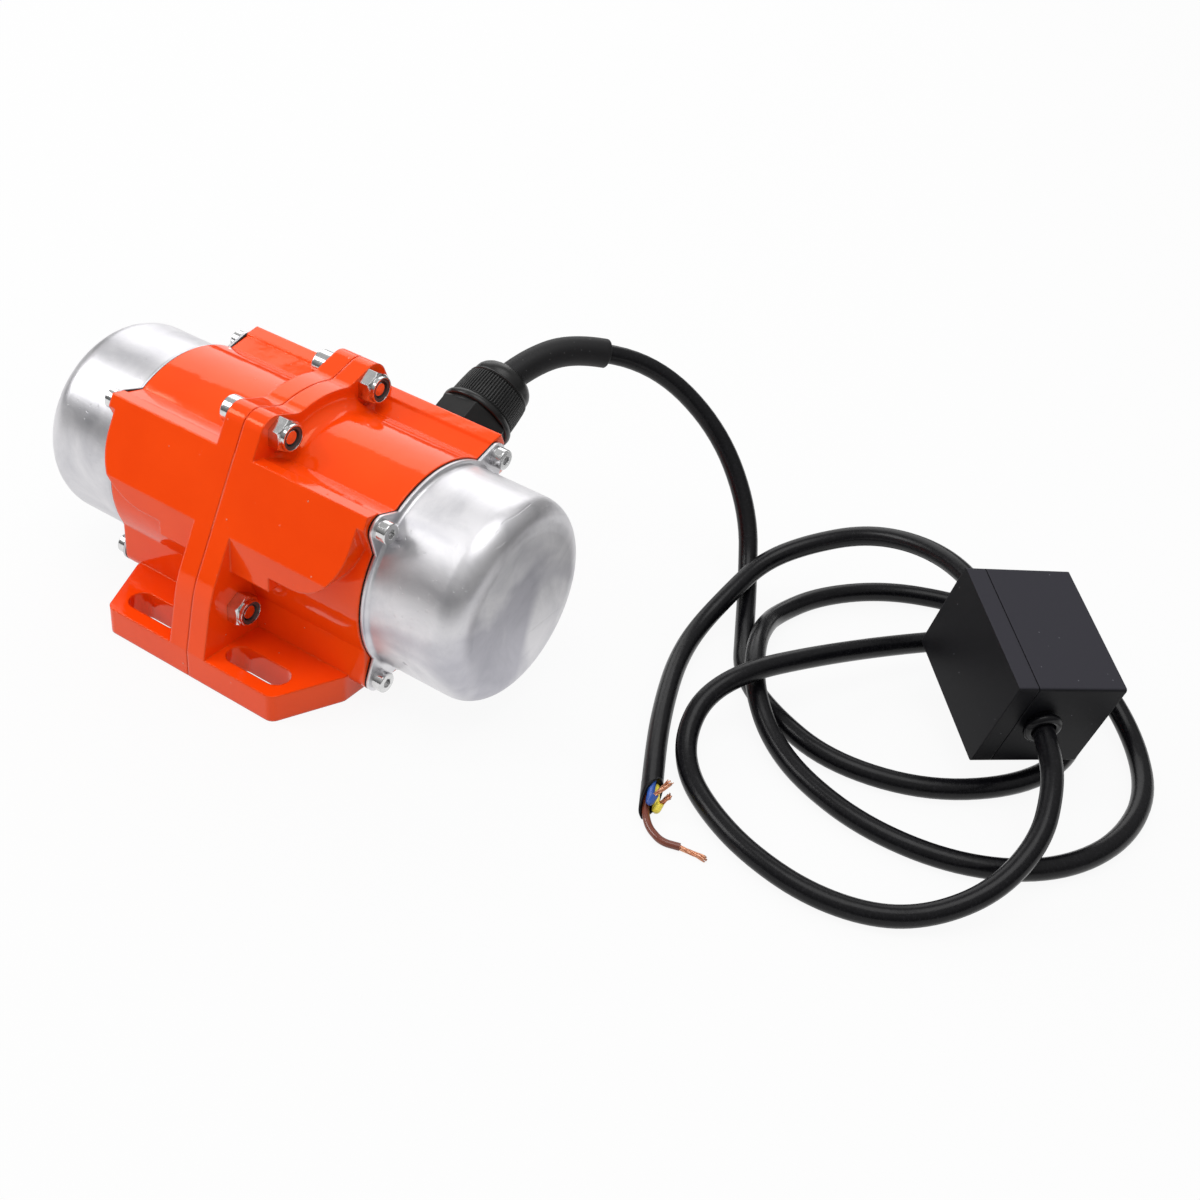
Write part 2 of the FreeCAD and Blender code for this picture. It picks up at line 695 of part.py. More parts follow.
def gland_hole(body):
    """The threaded seat of the gland, and the narrower passage into the stator room."""
    seat = on_pad(body, "gland_seat")
    circle(seat, d.gland_stub, (d.gland_x, 0))
    pocket(body, seat, d.pad_distance - d.gland_foot, reverse=True)
    passage = on_pad(body, "passage")
    circle(passage, d.gland_bore, (d.wall_start - 1.5 * d.gland_bore, 0))
    pocket(body, passage, d.pad_distance - d.bore_radius + 4, reverse=True)


right_shell = sub_part(half_shell("right_half_shell", Rotation()), "right_half_shell")
gland_hole(right_shell)
sub_part(half_shell("left_half_shell", Rotation(Vector(0, 0, 1), 180)), "left_half_shell")


# ---- Fasteners ----------------------------------------------------------------------------

def cap_screw(name, radius, length, head, height, key, turn=Rotation(), **place):
    """A socket head cap screw along its own X axis, with its head's seat at X = 0."""
    body = new_body(name, turn, **place)
    profile = new_sketch(body, "profile", "XZ")
    polygon(profile, [
        (-length, 0),
        (height, 0),
        (height, head, radius / 4),
        (0, head),
        (0, radius),
        (radius / 4 - length, radius),
        (-length, radius * 0.75),
    ])
    revolve(body, profile)
    socket = new_sketch(body, "socket", shift=height)
    hexagon(socket, key)
    pocket(body, socket, height / 2)
    return body


def cover_screws(name):
    seat = d.shell_length + d.gasket_thick + d.cover_sheet
    screw = cap_screw(name + "_one", d.screw_radius, d.screw_length, d.screw_head, d.screw_head_height,
                      d.screw_key, x=seat, y=d.screw_reach, z=d.axis_height + d.screw_reach)
    pair = both_sides(screw, name + "_pair")
    return together(name, [pair, reflection(pair, Vector(0, 0, 1), name + "_lower")])


for_each_end(cover_screws, "cover_screws")

BOLT_PLACES = [
    ("upper", d.upper_bolt_y, d.upper_bolt_rise),
    ("lower", d.lower_bolt_y, -d.lower_bolt_drop),
]


def flange_bolt(name, y, rise):
    return cap_screw(name, d.bolt_radius, d.bolt_length, d.bolt_head, d.bolt_head_height, d.bolt_key,
                     Rotation(Vector(0, 0, 1), 180), x=-d.flange_thick, y=y, z=d.axis_height + rise)


def flange_nut(name, y, rise):
    """A hexagon lock nut with a chamfered top and a round collar."""
    place = {"y": y, "z": d.axis_height + rise}
    point = d.nut_flats / 2 / cosine(30)
    prism = primitive("Prism", name + "_prism", TO_X, x=d.flange_thick, Circumradius=point,
                      Height=d.nut_hexagon, **place)
    prism.Polygon = 6
    taper = primitive("Cone", name + "_taper", TO_X, x=d.flange_thick, Radius1=point * 2,
                      Radius2=d.nut_flats / 2, Height=d.nut_hexagon, **place)
    wrench = boolean("Common", name + "_hexagon", prism, taper)
    collar = primitive("Cylinder", name + "_collar", TO_X, x=d.flange_thick, Radius=d.nut_collar,
                       Height=d.nut_height, **place)
    solid = boolean("Fuse", name + "_solid", wrench, collar)
    hole = primitive("Cylinder", name + "_hole", TO_X, x=d.flange_thick - 1, Radius=d.bolt_radius,
                     Height=d.nut_height + 2, **place)
    threaded = boolean("Cut", name + "_threaded", solid, hole)
    room = primitive("Cylinder", name + "_room", TO_X, x=d.flange_thick + d.nut_height - d.insert_height,
                     Radius=d.insert_radius, Height=d.insert_height + 1, **place)
    return boolean("Cut", name, threaded, room)


def nut_insert(name, y, rise):
    place = {"y": y, "z": d.axis_height + rise}
    start = d.flange_thick + d.nut_height - d.insert_height
    ring = primitive("Cylinder", name + "_body", TO_X, x=start, Radius=d.insert_radius,
                     Height=d.insert_height - 0.3, **place)
    hole = primitive("Cylinder", name + "_hole", TO_X, x=start - 1, Radius=d.bolt_radius,
                     Height=d.insert_height + 2, **place)
    return boolean("Cut", name, ring, hole)


for piece_label, make_piece in (
    ("flange_bolts", flange_bolt),
    ("flange_nuts", flange_nut),
    ("flange_nut_inserts", nut_insert),
):
    rear = [make_piece(f"{piece_label}_{spot}", y, rise) for spot, y, rise in BOLT_PLACES]
    rear_set = together(piece_label + "_rear", rear)
    sub_part(both_sides(rear_set, piece_label), piece_label)


# ---- End covers ---------------------------------------------------------------------------

def ear_with_hole(body, start, thickness):
    """One ear of the end outline, with its screw hole; both are then repeated four times."""
    ear = new_sketch(body, "ear", shift=start)
    polygon(ear, [
        (d.ear_far, d.ear_near),
        (d.ear_corner, d.ear_corner, d.ear_radius),
        (d.ear_near, d.ear_far),
    ])
    hole = new_sketch(body, "hole", shift=start)
    circle(hole, d.screw_radius, (d.screw_reach, d.screw_reach))
    repeat_round(body, [pad(body, ear, thickness)], 4)
    repeat_round(body, [pocket(body, hole, thickness, reverse=True)], 4)


def cover_gasket(name):
    body = new_body(name)
    ring = new_sketch(body, "ring", shift=d.shell_length)
    circle(ring, d.cover_rim)
    circle(ring, d.chamber_radius)
    pad(body, ring, d.gasket_thick)
    ear_with_hole(body, d.shell_length, d.gasket_thick)
    return body


def end_cover(name):
    """A deep drawn cup: flat end, rolled corner, straight wall and a rim with four ears."""
    seat = d.shell_length + d.gasket_thick
    rim = seat + d.cover_sheet
    inner = d.cover_radius - d.cover_sheet
    floor = d.cover_end - d.cover_sheet
    body = new_body(name)
    profile = new_sketch(body, "profile", "XZ")
    polygon(profile, [
        (seat, inner),
        (floor, inner, d.cover_corner - d.cover_sheet),
        (floor, 0),
        (d.cover_end, 0),
        (d.cover_end, d.cover_radius, d.cover_corner),
        (rim, d.cover_radius, d.cover_crease),
        (rim, d.cover_rim),
        (seat, d.cover_rim),
    ])
    revolve(body, profile)
    ear_with_hole(body, seat, d.cover_sheet)
    return body


for_each_end(cover_gasket, "cover_gasket")
for_each_end(end_cover, "end_cover")


# ---- Stator -------------------------------------------------------------------------------

def stator_core():
    body = new_body("stator_core")
    stack = new_sketch(body, "stack")
    circle(stack, d.bore_radius)
    circle(stack, d.stator_inner)
    pad(body, stack, d.stack_half * 2, both_ways=True)
    slot = new_sketch(body, "slot")
    circle(slot, d.slot_bar, (0, d.slot_pitch))
    repeat_round(body, [pocket(body, slot, d.stack_half * 2, both_ways=True)], d.stator_slots)
    return body


def stator_winding():
    """Copper in the slots, joined by a rounded end winding at each end."""
    body = new_body("stator_winding")
    bar = new_sketch(body, "bar")
    circle(bar, d.slot_bar, (0, d.slot_pitch))
    bars = pad(body, bar, (d.stack_half + d.winding_end), both_ways=True)
    ends = new_sketch(body, "ends", "XZ")
    edge = (d.winding_outer - d.winding_inner) / 3
    start = d.stack_half + 0.2
    for way in (1, -1):
        polygon(ends, [
            (start * way, d.winding_inner),
            (d.winding_end * way, d.winding_inner, edge),
            (d.winding_end * way, d.winding_outer, edge),
            (start * way, d.winding_outer),
        ])
    revolve(body, ends)
    repeat_round(body, [bars], d.stator_slots)
    return body


sub_part(stator_core(), "stator_core")
sub_part(stator_winding(), "stator_winding")


# ---- Rotor --------------------------------------------------------------------------------

def rotor_core():
    body = new_body("rotor_core")
    stack = new_sketch(body, "stack")
    circle(stack, d.rotor_radius)
    circle(stack, d.shaft_middle)
    pad(body, stack, d.stack_half * 2, both_ways=True)
    return body


def rotor_shaft():
    """A stepped shaft, alike at both ends, with key seats and circlip grooves."""
    body = new_body("rotor_shaft")
    bearing_end = d.bearing_start + d.bearing_width
    groove_end = d.circlip_x + d.circlip_thick
    half = [
        (d.bearing_start, d.shaft_middle),
        (d.bearing_start, d.shaft_bearing),
        (bearing_end, d.shaft_bearing),
        (bearing_end, d.shaft_outer),
        (d.circlip_x, d.shaft_outer),
        (d.circlip_x, d.circlip_groove),
        (groove_end, d.circlip_groove),
        (groove_end, d.shaft_outer),
        (d.shaft_end - 1, d.shaft_outer),
        (d.shaft_end, d.shaft_outer - 1),
        (d.shaft_end, 0),
    ]
    other = [(-corner[0], corner[1]) for corner in reversed(half)]
    profile = new_sketch(body, "profile", "XZ")
    polygon(profile, half + other)
    revolve(body, profile)
    seat = new_sketch(body, "key_seat", "XY", -d.shaft_outer)
    rectangle(seat, (d.inner_weight_x, -d.key_width / 2),
              (d.inner_weight_x + d.weight_thick, d.key_width / 2))
    mirror(body, [pocket(body, seat, d.key_depth, reverse=True)], "YZ")
    return body


def cage_end_ring():
    return tube_along_x("cage_end_ring", d.stack_half, d.cage_end - d.stack_half, d.cage_outer, d.cage_inner)


def shaft_key():
    return primitive("Box", "shaft_key", x=d.inner_weight_x, y=-d.key_width / 2,
                     z=d.axis_height - d.shaft_outer - d.key_depth, Length=d.weight_thick,
                     Width=d.key_width, Height=d.key_depth * 2)


def bearing_spacer():
    start = d.bearing_start + d.bearing_width
    return tube_along_x("bearing_spacer", start, d.inner_weight_x - start, d.bearing_pitch - d.race_gap,
                        d.shaft_outer)


def circlip():
    """An external circlip, open at the top."""
    ring = tube_along_x("circlip_ring", d.circlip_x, d.circlip_thick, d.circlip_radius, d.circlip_groove)
    gap = primitive("Box", "circlip_gap", x=d.circlip_x - 1, y=-d.circlip_groove / 2, z=d.axis_height,
                    Length=d.circlip_thick + 2, Width=d.circlip_groove, Height=d.circlip_radius * 2)
    return boolean("Cut", "circlip", ring, gap)


sub_part(rotor_shaft(), "rotor_shaft")
sub_part(rotor_core(), "rotor_core")
sub_part(both_ends(cage_end_ring(), "cage_end_rings"), "cage_end_rings")
sub_part(both_ends(shaft_key(), "shaft_keys"), "shaft_keys")
sub_part(both_ends(bearing_spacer(), "bearing_spacers"), "bearing_spacers")
sub_part(both_ends(circlip(), "shaft_circlips"), "shaft_circlips")


# ---- Ball bearings ------------------------------------------------------------------------

bearing_middle = d.bearing_start + d.bearing_width / 2


def grooved_ring(name, outer, inner):
    """A bearing ring with the groove that its balls roll in."""
    blank = tube_along_x(name + "_blank", d.bearing_start, d.bearing_width, outer, inner)
    race = primitive("Torus", name + "_race", TO_X, x=bearing_middle, Radius1=d.bearing_pitch,
                     Radius2=d.race_radius)
    return boolean("Cut", name, blank, race)


def bearing_outer_ring(name):
    return grooved_ring(name, d.bearing_outer, d.bearing_pitch + d.race_gap)


def bearing_inner_ring(name):
    return grooved_ring(name, d.bearing_pitch - d.race_gap, d.shaft_bearing)


def ball_ring(name, radius):
    """Spheres evenly spaced on the bearing's pitch circle."""
    balls = []
    count = int(d.ball_count.amount)
    for index in range(count):
        angle = index * 360 / count
        balls.append(primitive("Sphere", f"{name}_{index}", x=bearing_middle,
                               y=d.bearing_pitch * cosine(angle),
                               z=d.axis_height + d.bearing_pitch * sine(angle), Radius=radius))
    return together(name, balls)


def bearing_balls(name):
    return ball_ring(name, d.ball_radius)


def ball_cage(name):
    """A crown cage: a ring beside the balls with a round pocket for each of them."""
    crown = tube_along_x(name + "_crown", bearing_middle - 1, d.ball_radius + 1.4, d.bearing_pitch + 1.2,
                         d.bearing_pitch - 1.2)
    return boolean("Cut", name, crown, ball_ring(name + "_pockets", d.race_radius))


for_each_end(bearing_outer_ring, "bearing_outer_ring")
for_each_end(bearing_inner_ring, "bearing_inner_ring")
for_each_end(bearing_balls, "bearing_balls")
for_each_end(ball_cage, "ball_cage")


# ---- Eccentric weights --------------------------------------------------------------------

def eccentric_weight(name, start, gap):
    """A half disc with a clamp hub, hanging down as it does at rest."""
    body = new_body(name)
    disc = new_sketch(body, "disc", shift=start)
    circle(disc, d.weight_radius)
    pad(body, disc, d.weight_thick)
    spare = new_sketch(body, "spare", shift=start)
    reach = d.weight_radius + 1
    rectangle(spare, (-reach, -d.weight_shoulder), (reach, reach))
    pocket(body, spare, d.weight_thick, reverse=True)
    hub = new_sketch(body, "hub", shift=start)
    circle(hub, d.hub_radius)
    pad(body, hub, d.weight_thick)
    bore = new_sketch(body, "bore", shift=start)
    circle(bore, d.shaft_outer + gap)
    pocket(body, bore, d.weight_thick, reverse=True)
    slit = new_sketch(body, "slit", shift=start)
    rectangle(slit, (-d.hub_slit / 2, 0), (d.hub_slit / 2, d.hub_radius + 1))
    pocket(body, slit, d.weight_thick, reverse=True)
    clamp = new_sketch(body, "clamp", "XZ")
    circle(clamp, d.clamp_radius, (start + d.weight_thick / 2, d.clamp_rise))
    pocket(body, clamp, d.hub_radius * 2, both_ways=True)
    head_seat = new_sketch(body, "head_seat", "XZ", -d.clamp_length / 2)
    circle(head_seat, d.clamp_head + d.running_gap, (start + d.weight_thick / 2, d.clamp_rise))
    pocket(body, head_seat, d.hub_radius)
    return body


def inner_weight(name):
    body = eccentric_weight(name, d.inner_weight_x, 0)
    way = new_sketch(body, "key_way", shift=d.inner_weight_x)
    rectangle(way, (-d.key_width / 2, -d.shaft_outer - d.key_depth), (d.key_width / 2, -d.key_depth))
    pocket(body, way, d.weight_thick, reverse=True)
    return body


def outer_weight(name):
    return eccentric_weight(name, d.outer_weight_x, d.running_gap)


def clamp_screw(name, start):
    """A cap screw across the hub, its head beside the hub's round flank."""
    flank = d.clamp_length / 2
    return cap_screw(name, d.clamp_radius, d.clamp_length, d.clamp_head, d.clamp_head_height,
                     d.clamp_radius * 1.6, Rotation(Vector(0, 0, 1), 90), x=start + d.weight_thick / 2,
                     y=flank, z=d.axis_height + d.clamp_rise)


def outer_weight_screw(name):
    return clamp_screw(name, d.outer_weight_x)


for_each_end(inner_weight, "inner_weight")
for_each_end(outer_weight, "outer_weight")
sub_part(both_ends(clamp_screw("inner_weight_screw", d.inner_weight_x), "inner_weight_screws"),
         "inner_weight_screws")
for_each_end(outer_weight_screw, "outer_weight_screw")


# ---- Cable gland --------------------------------------------------------------------------

def gland_body_at(name):
    """A body whose Z axis is the gland's: square to the rear pad, from the shaft axis out."""
    return new_body(name, Rotation(Vector(1, 0, 0), d.pad_angle.amount - 90), x=d.gland_x)


def gland_body():
    body = gland_body_at("gland_body")
    hexagon_start = d.pad_distance + d.ring_thick
    stub = new_sketch(body, "stub", "XY", d.gland_foot)
    circle(stub, d.gland_stub)
    pad(body, stub, hexagon_start - d.gland_foot)
    wrench = new_sketch(body, "hexagon", "XY", hexagon_start)
    hexagon(wrench, d.gland_flats)
    pad(body, wrench, d.gland_hexagon - hexagon_start)
    passage = new_sketch(body, "passage", "XY", d.gland_foot)
    circle(passage, d.gland_bore)
    pocket(body, passage, d.gland_hexagon - d.gland_foot, reverse=True)
    return body


def gland_ring():
    body = gland_body_at("gland_o_ring")
    ring = new_sketch(body, "ring", "XY", d.pad_distance)
    circle(ring, d.ring_radius)
    circle(ring, d.gland_stub)
    pad(body, ring, d.ring_thick)
    return body


def gland_nut():
    """The clamping nut: a lower rim, a ribbed grip and a domed mouth."""
    body = gland_body_at("gland_nut")
    profile = new_sketch(body, "profile", "XZ")
    polygon(profile, [
        (d.nut_mouth, d.gland_hexagon),
        (d.nut_skirt, d.gland_hexagon),
        (d.nut_skirt, d.nut_skirt_top),
        (d.nut_grip, d.nut_skirt_top),
        (d.nut_grip_end, d.nut_grip_top),
        (d.nut_mouth + 3.4, d.nut_top - 2.2, 3),
        (d.nut_mouth, d.nut_top),
    ])
    revolve(body, profile, "Z")
    rib = new_sketch(body, "rib", "YZ")
    edge = d.nut_grip + d.rib_height
    polygon(rib, [
        (d.nut_grip_end - 1, d.nut_skirt_top - 0.3),
        (edge, d.nut_skirt_top - 0.3),
        (edge + d.nut_grip_end - d.nut_grip, d.nut_grip_top),
        (d.nut_grip_end - 1, d.nut_grip_top + 0.8),
    ])
    repeat_round(body, [pad(body, rib, d.rib_width, both_ways=True)], d.rib_count, "Z")
    return body


def gland_seal():
    body = gland_body_at("gland_seal")
    plug = new_sketch(body, "plug", "XY", d.gland_hexagon)
    circle(plug, d.nut_mouth)
    pad(body, plug, d.seal_top - d.gland_hexagon)
    return body


sub_part(gland_body(), "gland_body")
sub_part(gland_ring(), "gland_o_ring")
sub_part(gland_nut(), "gland_nut")
sub_part(gland_seal(), "gland_seal")


# ---- Capacitor box ------------------------------------------------------------------------

def new_box_body(name):
    """A body in the box's own frame: X along its cord, Y towards its lid."""
    turn = Rotation(d.box_yaw.amount, d.box_pitch.amount, d.box_roll.amount)
    return new_body(name, turn, x=d.box_x, y=d.box_y, z=d.box_z)


def box_section(sketch, inset):
    """The box's cross section over length and height, set in from its faces."""
    half_length = d.box_length / 2 - inset
    half_height = d.box_height / 2 - inset
    rounding = d.box_corner
    polygon(sketch, [
        (-half_length, -half_height, rounding),
        (half_length, -half_height, rounding),
        (half_length, half_height, rounding),
        (-half_length, half_height, rounding),
    ])


def outlet(body, name, way, radius):
    """A round sketch on one end of the box, at the cord's outlet."""
    sketch = new_sketch(body, name, shift=d.box_length / 2 * way)
    circle(sketch, radius, (d.outlet_side, d.outlet_rise))
    return sketch


lid_start = d.box_width / 2 - d.lid_depth


def capacitor_box_base():
    body = new_box_body("capacitor_box_base")
    outside = new_sketch(body, "outside", "XZ", -lid_start)
    box_section(outside, 0)
    pad(body, outside, lid_start + d.box_width / 2)
    room = new_sketch(body, "room", "XZ", -lid_start)
    box_section(room, d.box_wall)
    pocket(body, room, lid_start + d.box_width / 2 - d.box_wall, reverse=True)
    for way, name in ((-1, "inlet"), (1, "outlet")):
        pocket(body, outlet(body, name, way, d.bush_neck), d.box_wall, reverse=way < 0)
    return body


def capacitor_box_lid():
    body = new_box_body("capacitor_box_lid")
    plate = new_sketch(body, "plate", "XZ", -d.box_width / 2)
    box_section(plate, 0)
    pad(body, plate, d.lid_depth - d.lid_seam)
    lip = new_sketch(body, "lip", "XZ", -lid_start - d.lid_seam)
    box_section(lip, d.box_wall)
    pad(body, lip, d.lid_lip + d.lid_seam)
    room = new_sketch(body, "room", "XZ", d.lid_lip - lid_start)
    box_section(room, d.box_wall * 2)
    pocket(body, room, d.lid_depth + d.lid_lip - d.box_wall)
    return body


def box_bush(name, way):
    """A cord bush: a plug in the box's wall and a collar round the cord outside it."""
    body = new_box_body(name)
    pad(body, outlet(body, "plug", way, d.bush_neck), d.box_wall + 1, reverse=way > 0)
    collar = outlet(body, "collar", way, d.bush_collar)
    circle(collar, d.bush_neck - 0.4, (d.outlet_side, d.outlet_rise))
    pad(body, collar, d.bush_proud, reverse=way < 0)
    return body


def run_capacitor():
    body = new_box_body("run_capacitor")
    can = new_sketch(body, "can", shift=-d.capacitor_length / 2)
    seat = d.box_wall + d.capacitor_radius
    circle(can, d.capacitor_radius, (seat - d.box_width / 2, seat - d.box_height / 2))
    pad(body, can, d.capacitor_length)
    return body


sub_part(capacitor_box_base(), "capacitor_box_base")
sub_part(capacitor_box_lid(), "capacitor_box_lid")
sub_part(run_capacitor(), "run_capacitor")
sub_part(box_bush("box_inlet_bush", -1), "box_inlet_bush")
sub_part(box_bush("box_outlet_bush", 1), "box_outlet_bush")


# ---- Cords and wires ----------------------------------------------------------------------

MOTOR_CORD = [
    # out of the gland, over and down to the floor beside the motor
    (30, 63.4, 70), (31.8, 77, 74.6), (39.8, 95.5, 76.8), (61, 118, 69), (86, 125.5, 49), (106.5, 118.5, 26),
    (118, 103, 8), (130, 81, 3.5), (141, 60, 3.5),
    # first turn of the coil, flat on the floor
    (160, 47.5, 3.5), (185, 39.5, 3.5), (215, 47, 3.5), (238, 69, 3.5), (246.5, 94, 3.5), (240, 120, 3.5),
    (225, 142, 3.5), (203, 154, 3.5), (180, 150, 3.5), (157, 139, 3.5), (140, 119, 3.5), (133.5, 97, 4),
    # over the first turn and round the second
    (136.5, 80, 9), (143, 62, 12.5), (152.5, 46.5, 10), (165.2, 35.6, 5), (182.5, 26, 3.5), (208, 19.5, 3.5),
    (236, 23, 3.5), (259, 37.5, 3.5), (272.5, 61, 3.5), (274, 90, 3.5), (262, 115.5, 4), (242.5, 129.5, 11.8),
    # back over both turns on the left, and round to the box
    (222, 134, 12), (202, 125.5, 12), (185.5, 109, 11.5), (172, 89, 13.5), (160, 66, 17), (149, 44, 19),
    (142.5, 28.5, 14.5), (144.5, 15.5, 8), (152.5, 4.5, 4.2), (166, -5, 3.5), (184, -13, 3.5),
    (206, -16.5, 3.5), (226, -12, 3.5), (240, -1, 4.5), (251.5, 14, 10.5), (255.7, 32, 19), (251.6, 48.3, 25),
    (245.1, 61.9, 27.3), (237.6, 70.3, 29.9),
]

SUPPLY_CORD = [
    (202.6, 104.4, 40.4), (192, 112.9, 41.9), (171, 124.5, 38), (149.5, 127, 31.5), (131.5, 118, 23),
    (121.5, 104.5, 17.5), (119.3, 86, 12.5), (117, 69, 5.5), (120, 52, 3.5), (127, 33, 3.5), (137, 11, 3.5),
    (146.5, -6.4, 3.5),
]

WIRES = {
    "brown_wire": [(144.9, -6.1, 2.77), (151.1, -17.6, 2.5), (154.9, -21.2, 1.4),
                   (160.9, -23.8, 1.3), (166.5, -22, 1.3)],
    "blue_wire": [(146, -5.5, 4.95), (151.2, -16.1, 5.05), (151.9, -14.4, 8.5)],
    "yellow_green_wire": [(147.1, -4.9, 2.77), (153.4, -15.2, 2.3), (153.9, -13.8, 5.7)],
}

COPPER = {
    "brown_wire": (175, -20.8, 1),
    "blue_wire": (154.6, -11.1, 12.9),
    "yellow_green_wire": (155.8, -12.2, 8.1),
}


def rounded_path(points):
    """Straight runs joined by tangent arcs, each as large as its two shorter runs allow."""
    spots = [Vector(*point) for point in points]
    edges = []
    start = spots[0]
    for before, spot, after in zip(spots, spots[1:], spots[2:]):
        back = (before - spot).normalize()
        ahead = (after - spot).normalize()
        half_turn = (math.pi - back.getAngle(ahead)) / 2
        reach = 0.45 * min((before - spot).Length, (after - spot).Length)
        radius = reach / math.tan(half_turn)
        first = spot + back * reach
        last = spot + ahead * reach
        centre_gap = radius / math.cos(half_turn) - radius
        middle = spot + (back + ahead).normalize() * centre_gap
        edges.append(Part.LineSegment(start, first).toShape())
        edges.append(Part.Arc(first, middle, last).toShape())
        start = last
    edges.append(Part.LineSegment(start, spots[-1]).toShape())
    return edges


def sweep(edges, radius):
    """A round solid of one radius along a path of edges."""
    path = Part.Wire(edges)
    first = edges[0]
    section = Part.Wire(Part.makeCircle(radius, first.valueAt(first.FirstParameter), first.tangentAt(0)))
    return path.makePipeShell([section], True, False)


def solid_node(label, shape):
    piece = doc.addObject("Part::Feature", label)
    piece.Shape = shape
    piece.Placement = Placement()
    return sub_part(piece, label)


def cord(label, points):
    radius = d.cord_radius.amount
    edges = rounded_path(points)
    tube = sweep(edges, radius)
    length = Part.Wire(edges).Length
    ratio = tube.Volume / (math.pi * radius ** 2 * length)
    print(f"{label}: length {length:.0f}, volume against section by length {ratio:.4f}")
    print("  arc radii " + " ".join(f"{arc.Curve.Radius:.0f}" for arc in edges[1::2]))
    solid_node(label, tube)
    return edges


motor_edges = cord("motor_cord", MOTOR_CORD)
cord("supply_cord", SUPPLY_CORD)

sleeve_edges = motor_edges[:4]
sleeve_outside = sweep(sleeve_edges, d.sleeve_radius.amount)
sleeve_inside = sweep(sleeve_edges, d.cord_radius.amount)
solid_node("cable_sleeve", sleeve_outside.cut(sleeve_inside))

copper_ends = []
for wire_label, route in WIRES.items():
    solid_node(wire_label, sweep(rounded_path(route), d.wire_radius.amount))
    strip = Vector(*COPPER[wire_label]) - Vector(*route[-1])
    copper_ends.append(Part.makeCylinder(d.copper_radius.amount, strip.Length, Vector(*route[-1]), strip))
solid_node("copper_ends", Part.makeCompound(copper_ends))


# ---- Checks and files ---------------------------------------------------------------------

doc.recompute()
for item in doc.Objects:
    if "Invalid" in item.State or "Error" in item.State:
        raise RuntimeError(f"{item.Name} failed: {item.State}")
for node in nodes:
    if node.Shape.isNull() or not node.Shape.isValid():
        raise RuntimeError(f"{node.Label} has no valid shape")

os.makedirs("parts", exist_ok=True)
for node in nodes:
    node.Shape.exportStep(f"parts/{node.Label}.step")
    print(f"{node.Label}: {len(node.Shape.Solids)} solids, {node.Shape.Volume:.0f} mm3")
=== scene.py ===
import math
import random

import bmesh
import bpy
from mathutils import Matrix, Vector


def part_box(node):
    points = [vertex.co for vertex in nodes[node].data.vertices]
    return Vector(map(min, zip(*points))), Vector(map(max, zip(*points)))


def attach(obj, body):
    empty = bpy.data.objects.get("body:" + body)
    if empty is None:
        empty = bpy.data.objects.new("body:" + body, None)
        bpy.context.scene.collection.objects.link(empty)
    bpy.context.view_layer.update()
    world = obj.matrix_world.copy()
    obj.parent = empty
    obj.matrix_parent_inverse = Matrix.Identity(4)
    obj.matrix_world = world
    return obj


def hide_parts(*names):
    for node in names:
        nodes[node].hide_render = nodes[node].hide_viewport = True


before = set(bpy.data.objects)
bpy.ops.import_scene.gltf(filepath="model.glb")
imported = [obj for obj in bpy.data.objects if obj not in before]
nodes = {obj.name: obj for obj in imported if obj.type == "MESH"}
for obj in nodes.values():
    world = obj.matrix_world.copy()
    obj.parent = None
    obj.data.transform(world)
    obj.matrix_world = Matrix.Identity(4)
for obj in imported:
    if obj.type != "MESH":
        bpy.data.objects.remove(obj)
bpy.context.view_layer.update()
MM = 0.001


# ---- The studio ---------------------------------------------------------------------------
# A white table under soft boxes, with nothing else in the room. The camera stands over the
# right front corner of the table and leans a little to one side.

TABLE_REACH = 6.0
TABLE_GLOW = 0.92
LIT_PLACE = Vector((0.05, 0.0, 0.04))

scene = bpy.context.scene
scene.view_settings.view_transform = "Standard"

lens = bpy.data.cameras.new("camera")
lens.sensor_width = 36
lens.lens = 47.774
camera = bpy.data.objects.new("camera", lens)
heading, dip, lean = 0.515, 0.629, 0.126
turn = (Matrix.Rotation(heading, 4, "Z") @ Matrix.Rotation(math.pi / 2 - dip, 4, "X")
        @ Matrix.Rotation(lean, 4, "Z"))
camera.matrix_world = Matrix.Translation((0.30658, -0.33636, 0.33721)) @ turn
scene.collection.objects.link(camera)
scene.camera = camera


def node_maker(tree):
    """Two functions for a node tree: one sets a node's sockets, one adds a node for an output."""

    def feed(socket, value):
        if isinstance(value, bpy.types.NodeSocket):
            tree.links.new(value, socket)
        else:
            socket.default_value = value

    def wire(node, **sockets):
        for name, value in sockets.items():
            feed(node.inputs[name.replace("_", " ")], value)

    def add(kind, output, settings=None, *feeds, **sockets):
        node = tree.nodes.new("ShaderNode" + kind)
        for name, value in (settings or {}).items():
            setattr(node, name, value)
        for socket, value in zip(node.inputs, feeds):
            feed(socket, value)
        wire(node, **sockets)
        return node.outputs[output]

    return wire, add


def start_finish(name):
    """A material, its shader, and the two functions for its nodes."""
    material = bpy.data.materials.new(name)
    material.use_nodes = True
    tree = material.node_tree
    return material, tree.nodes["Principled BSDF"], *node_maker(tree)


def grey(add, tone):
    """A colour with the same tone in red, green and blue."""
    return add("CombineColor", "Color", Red=tone, Green=tone, Blue=tone)


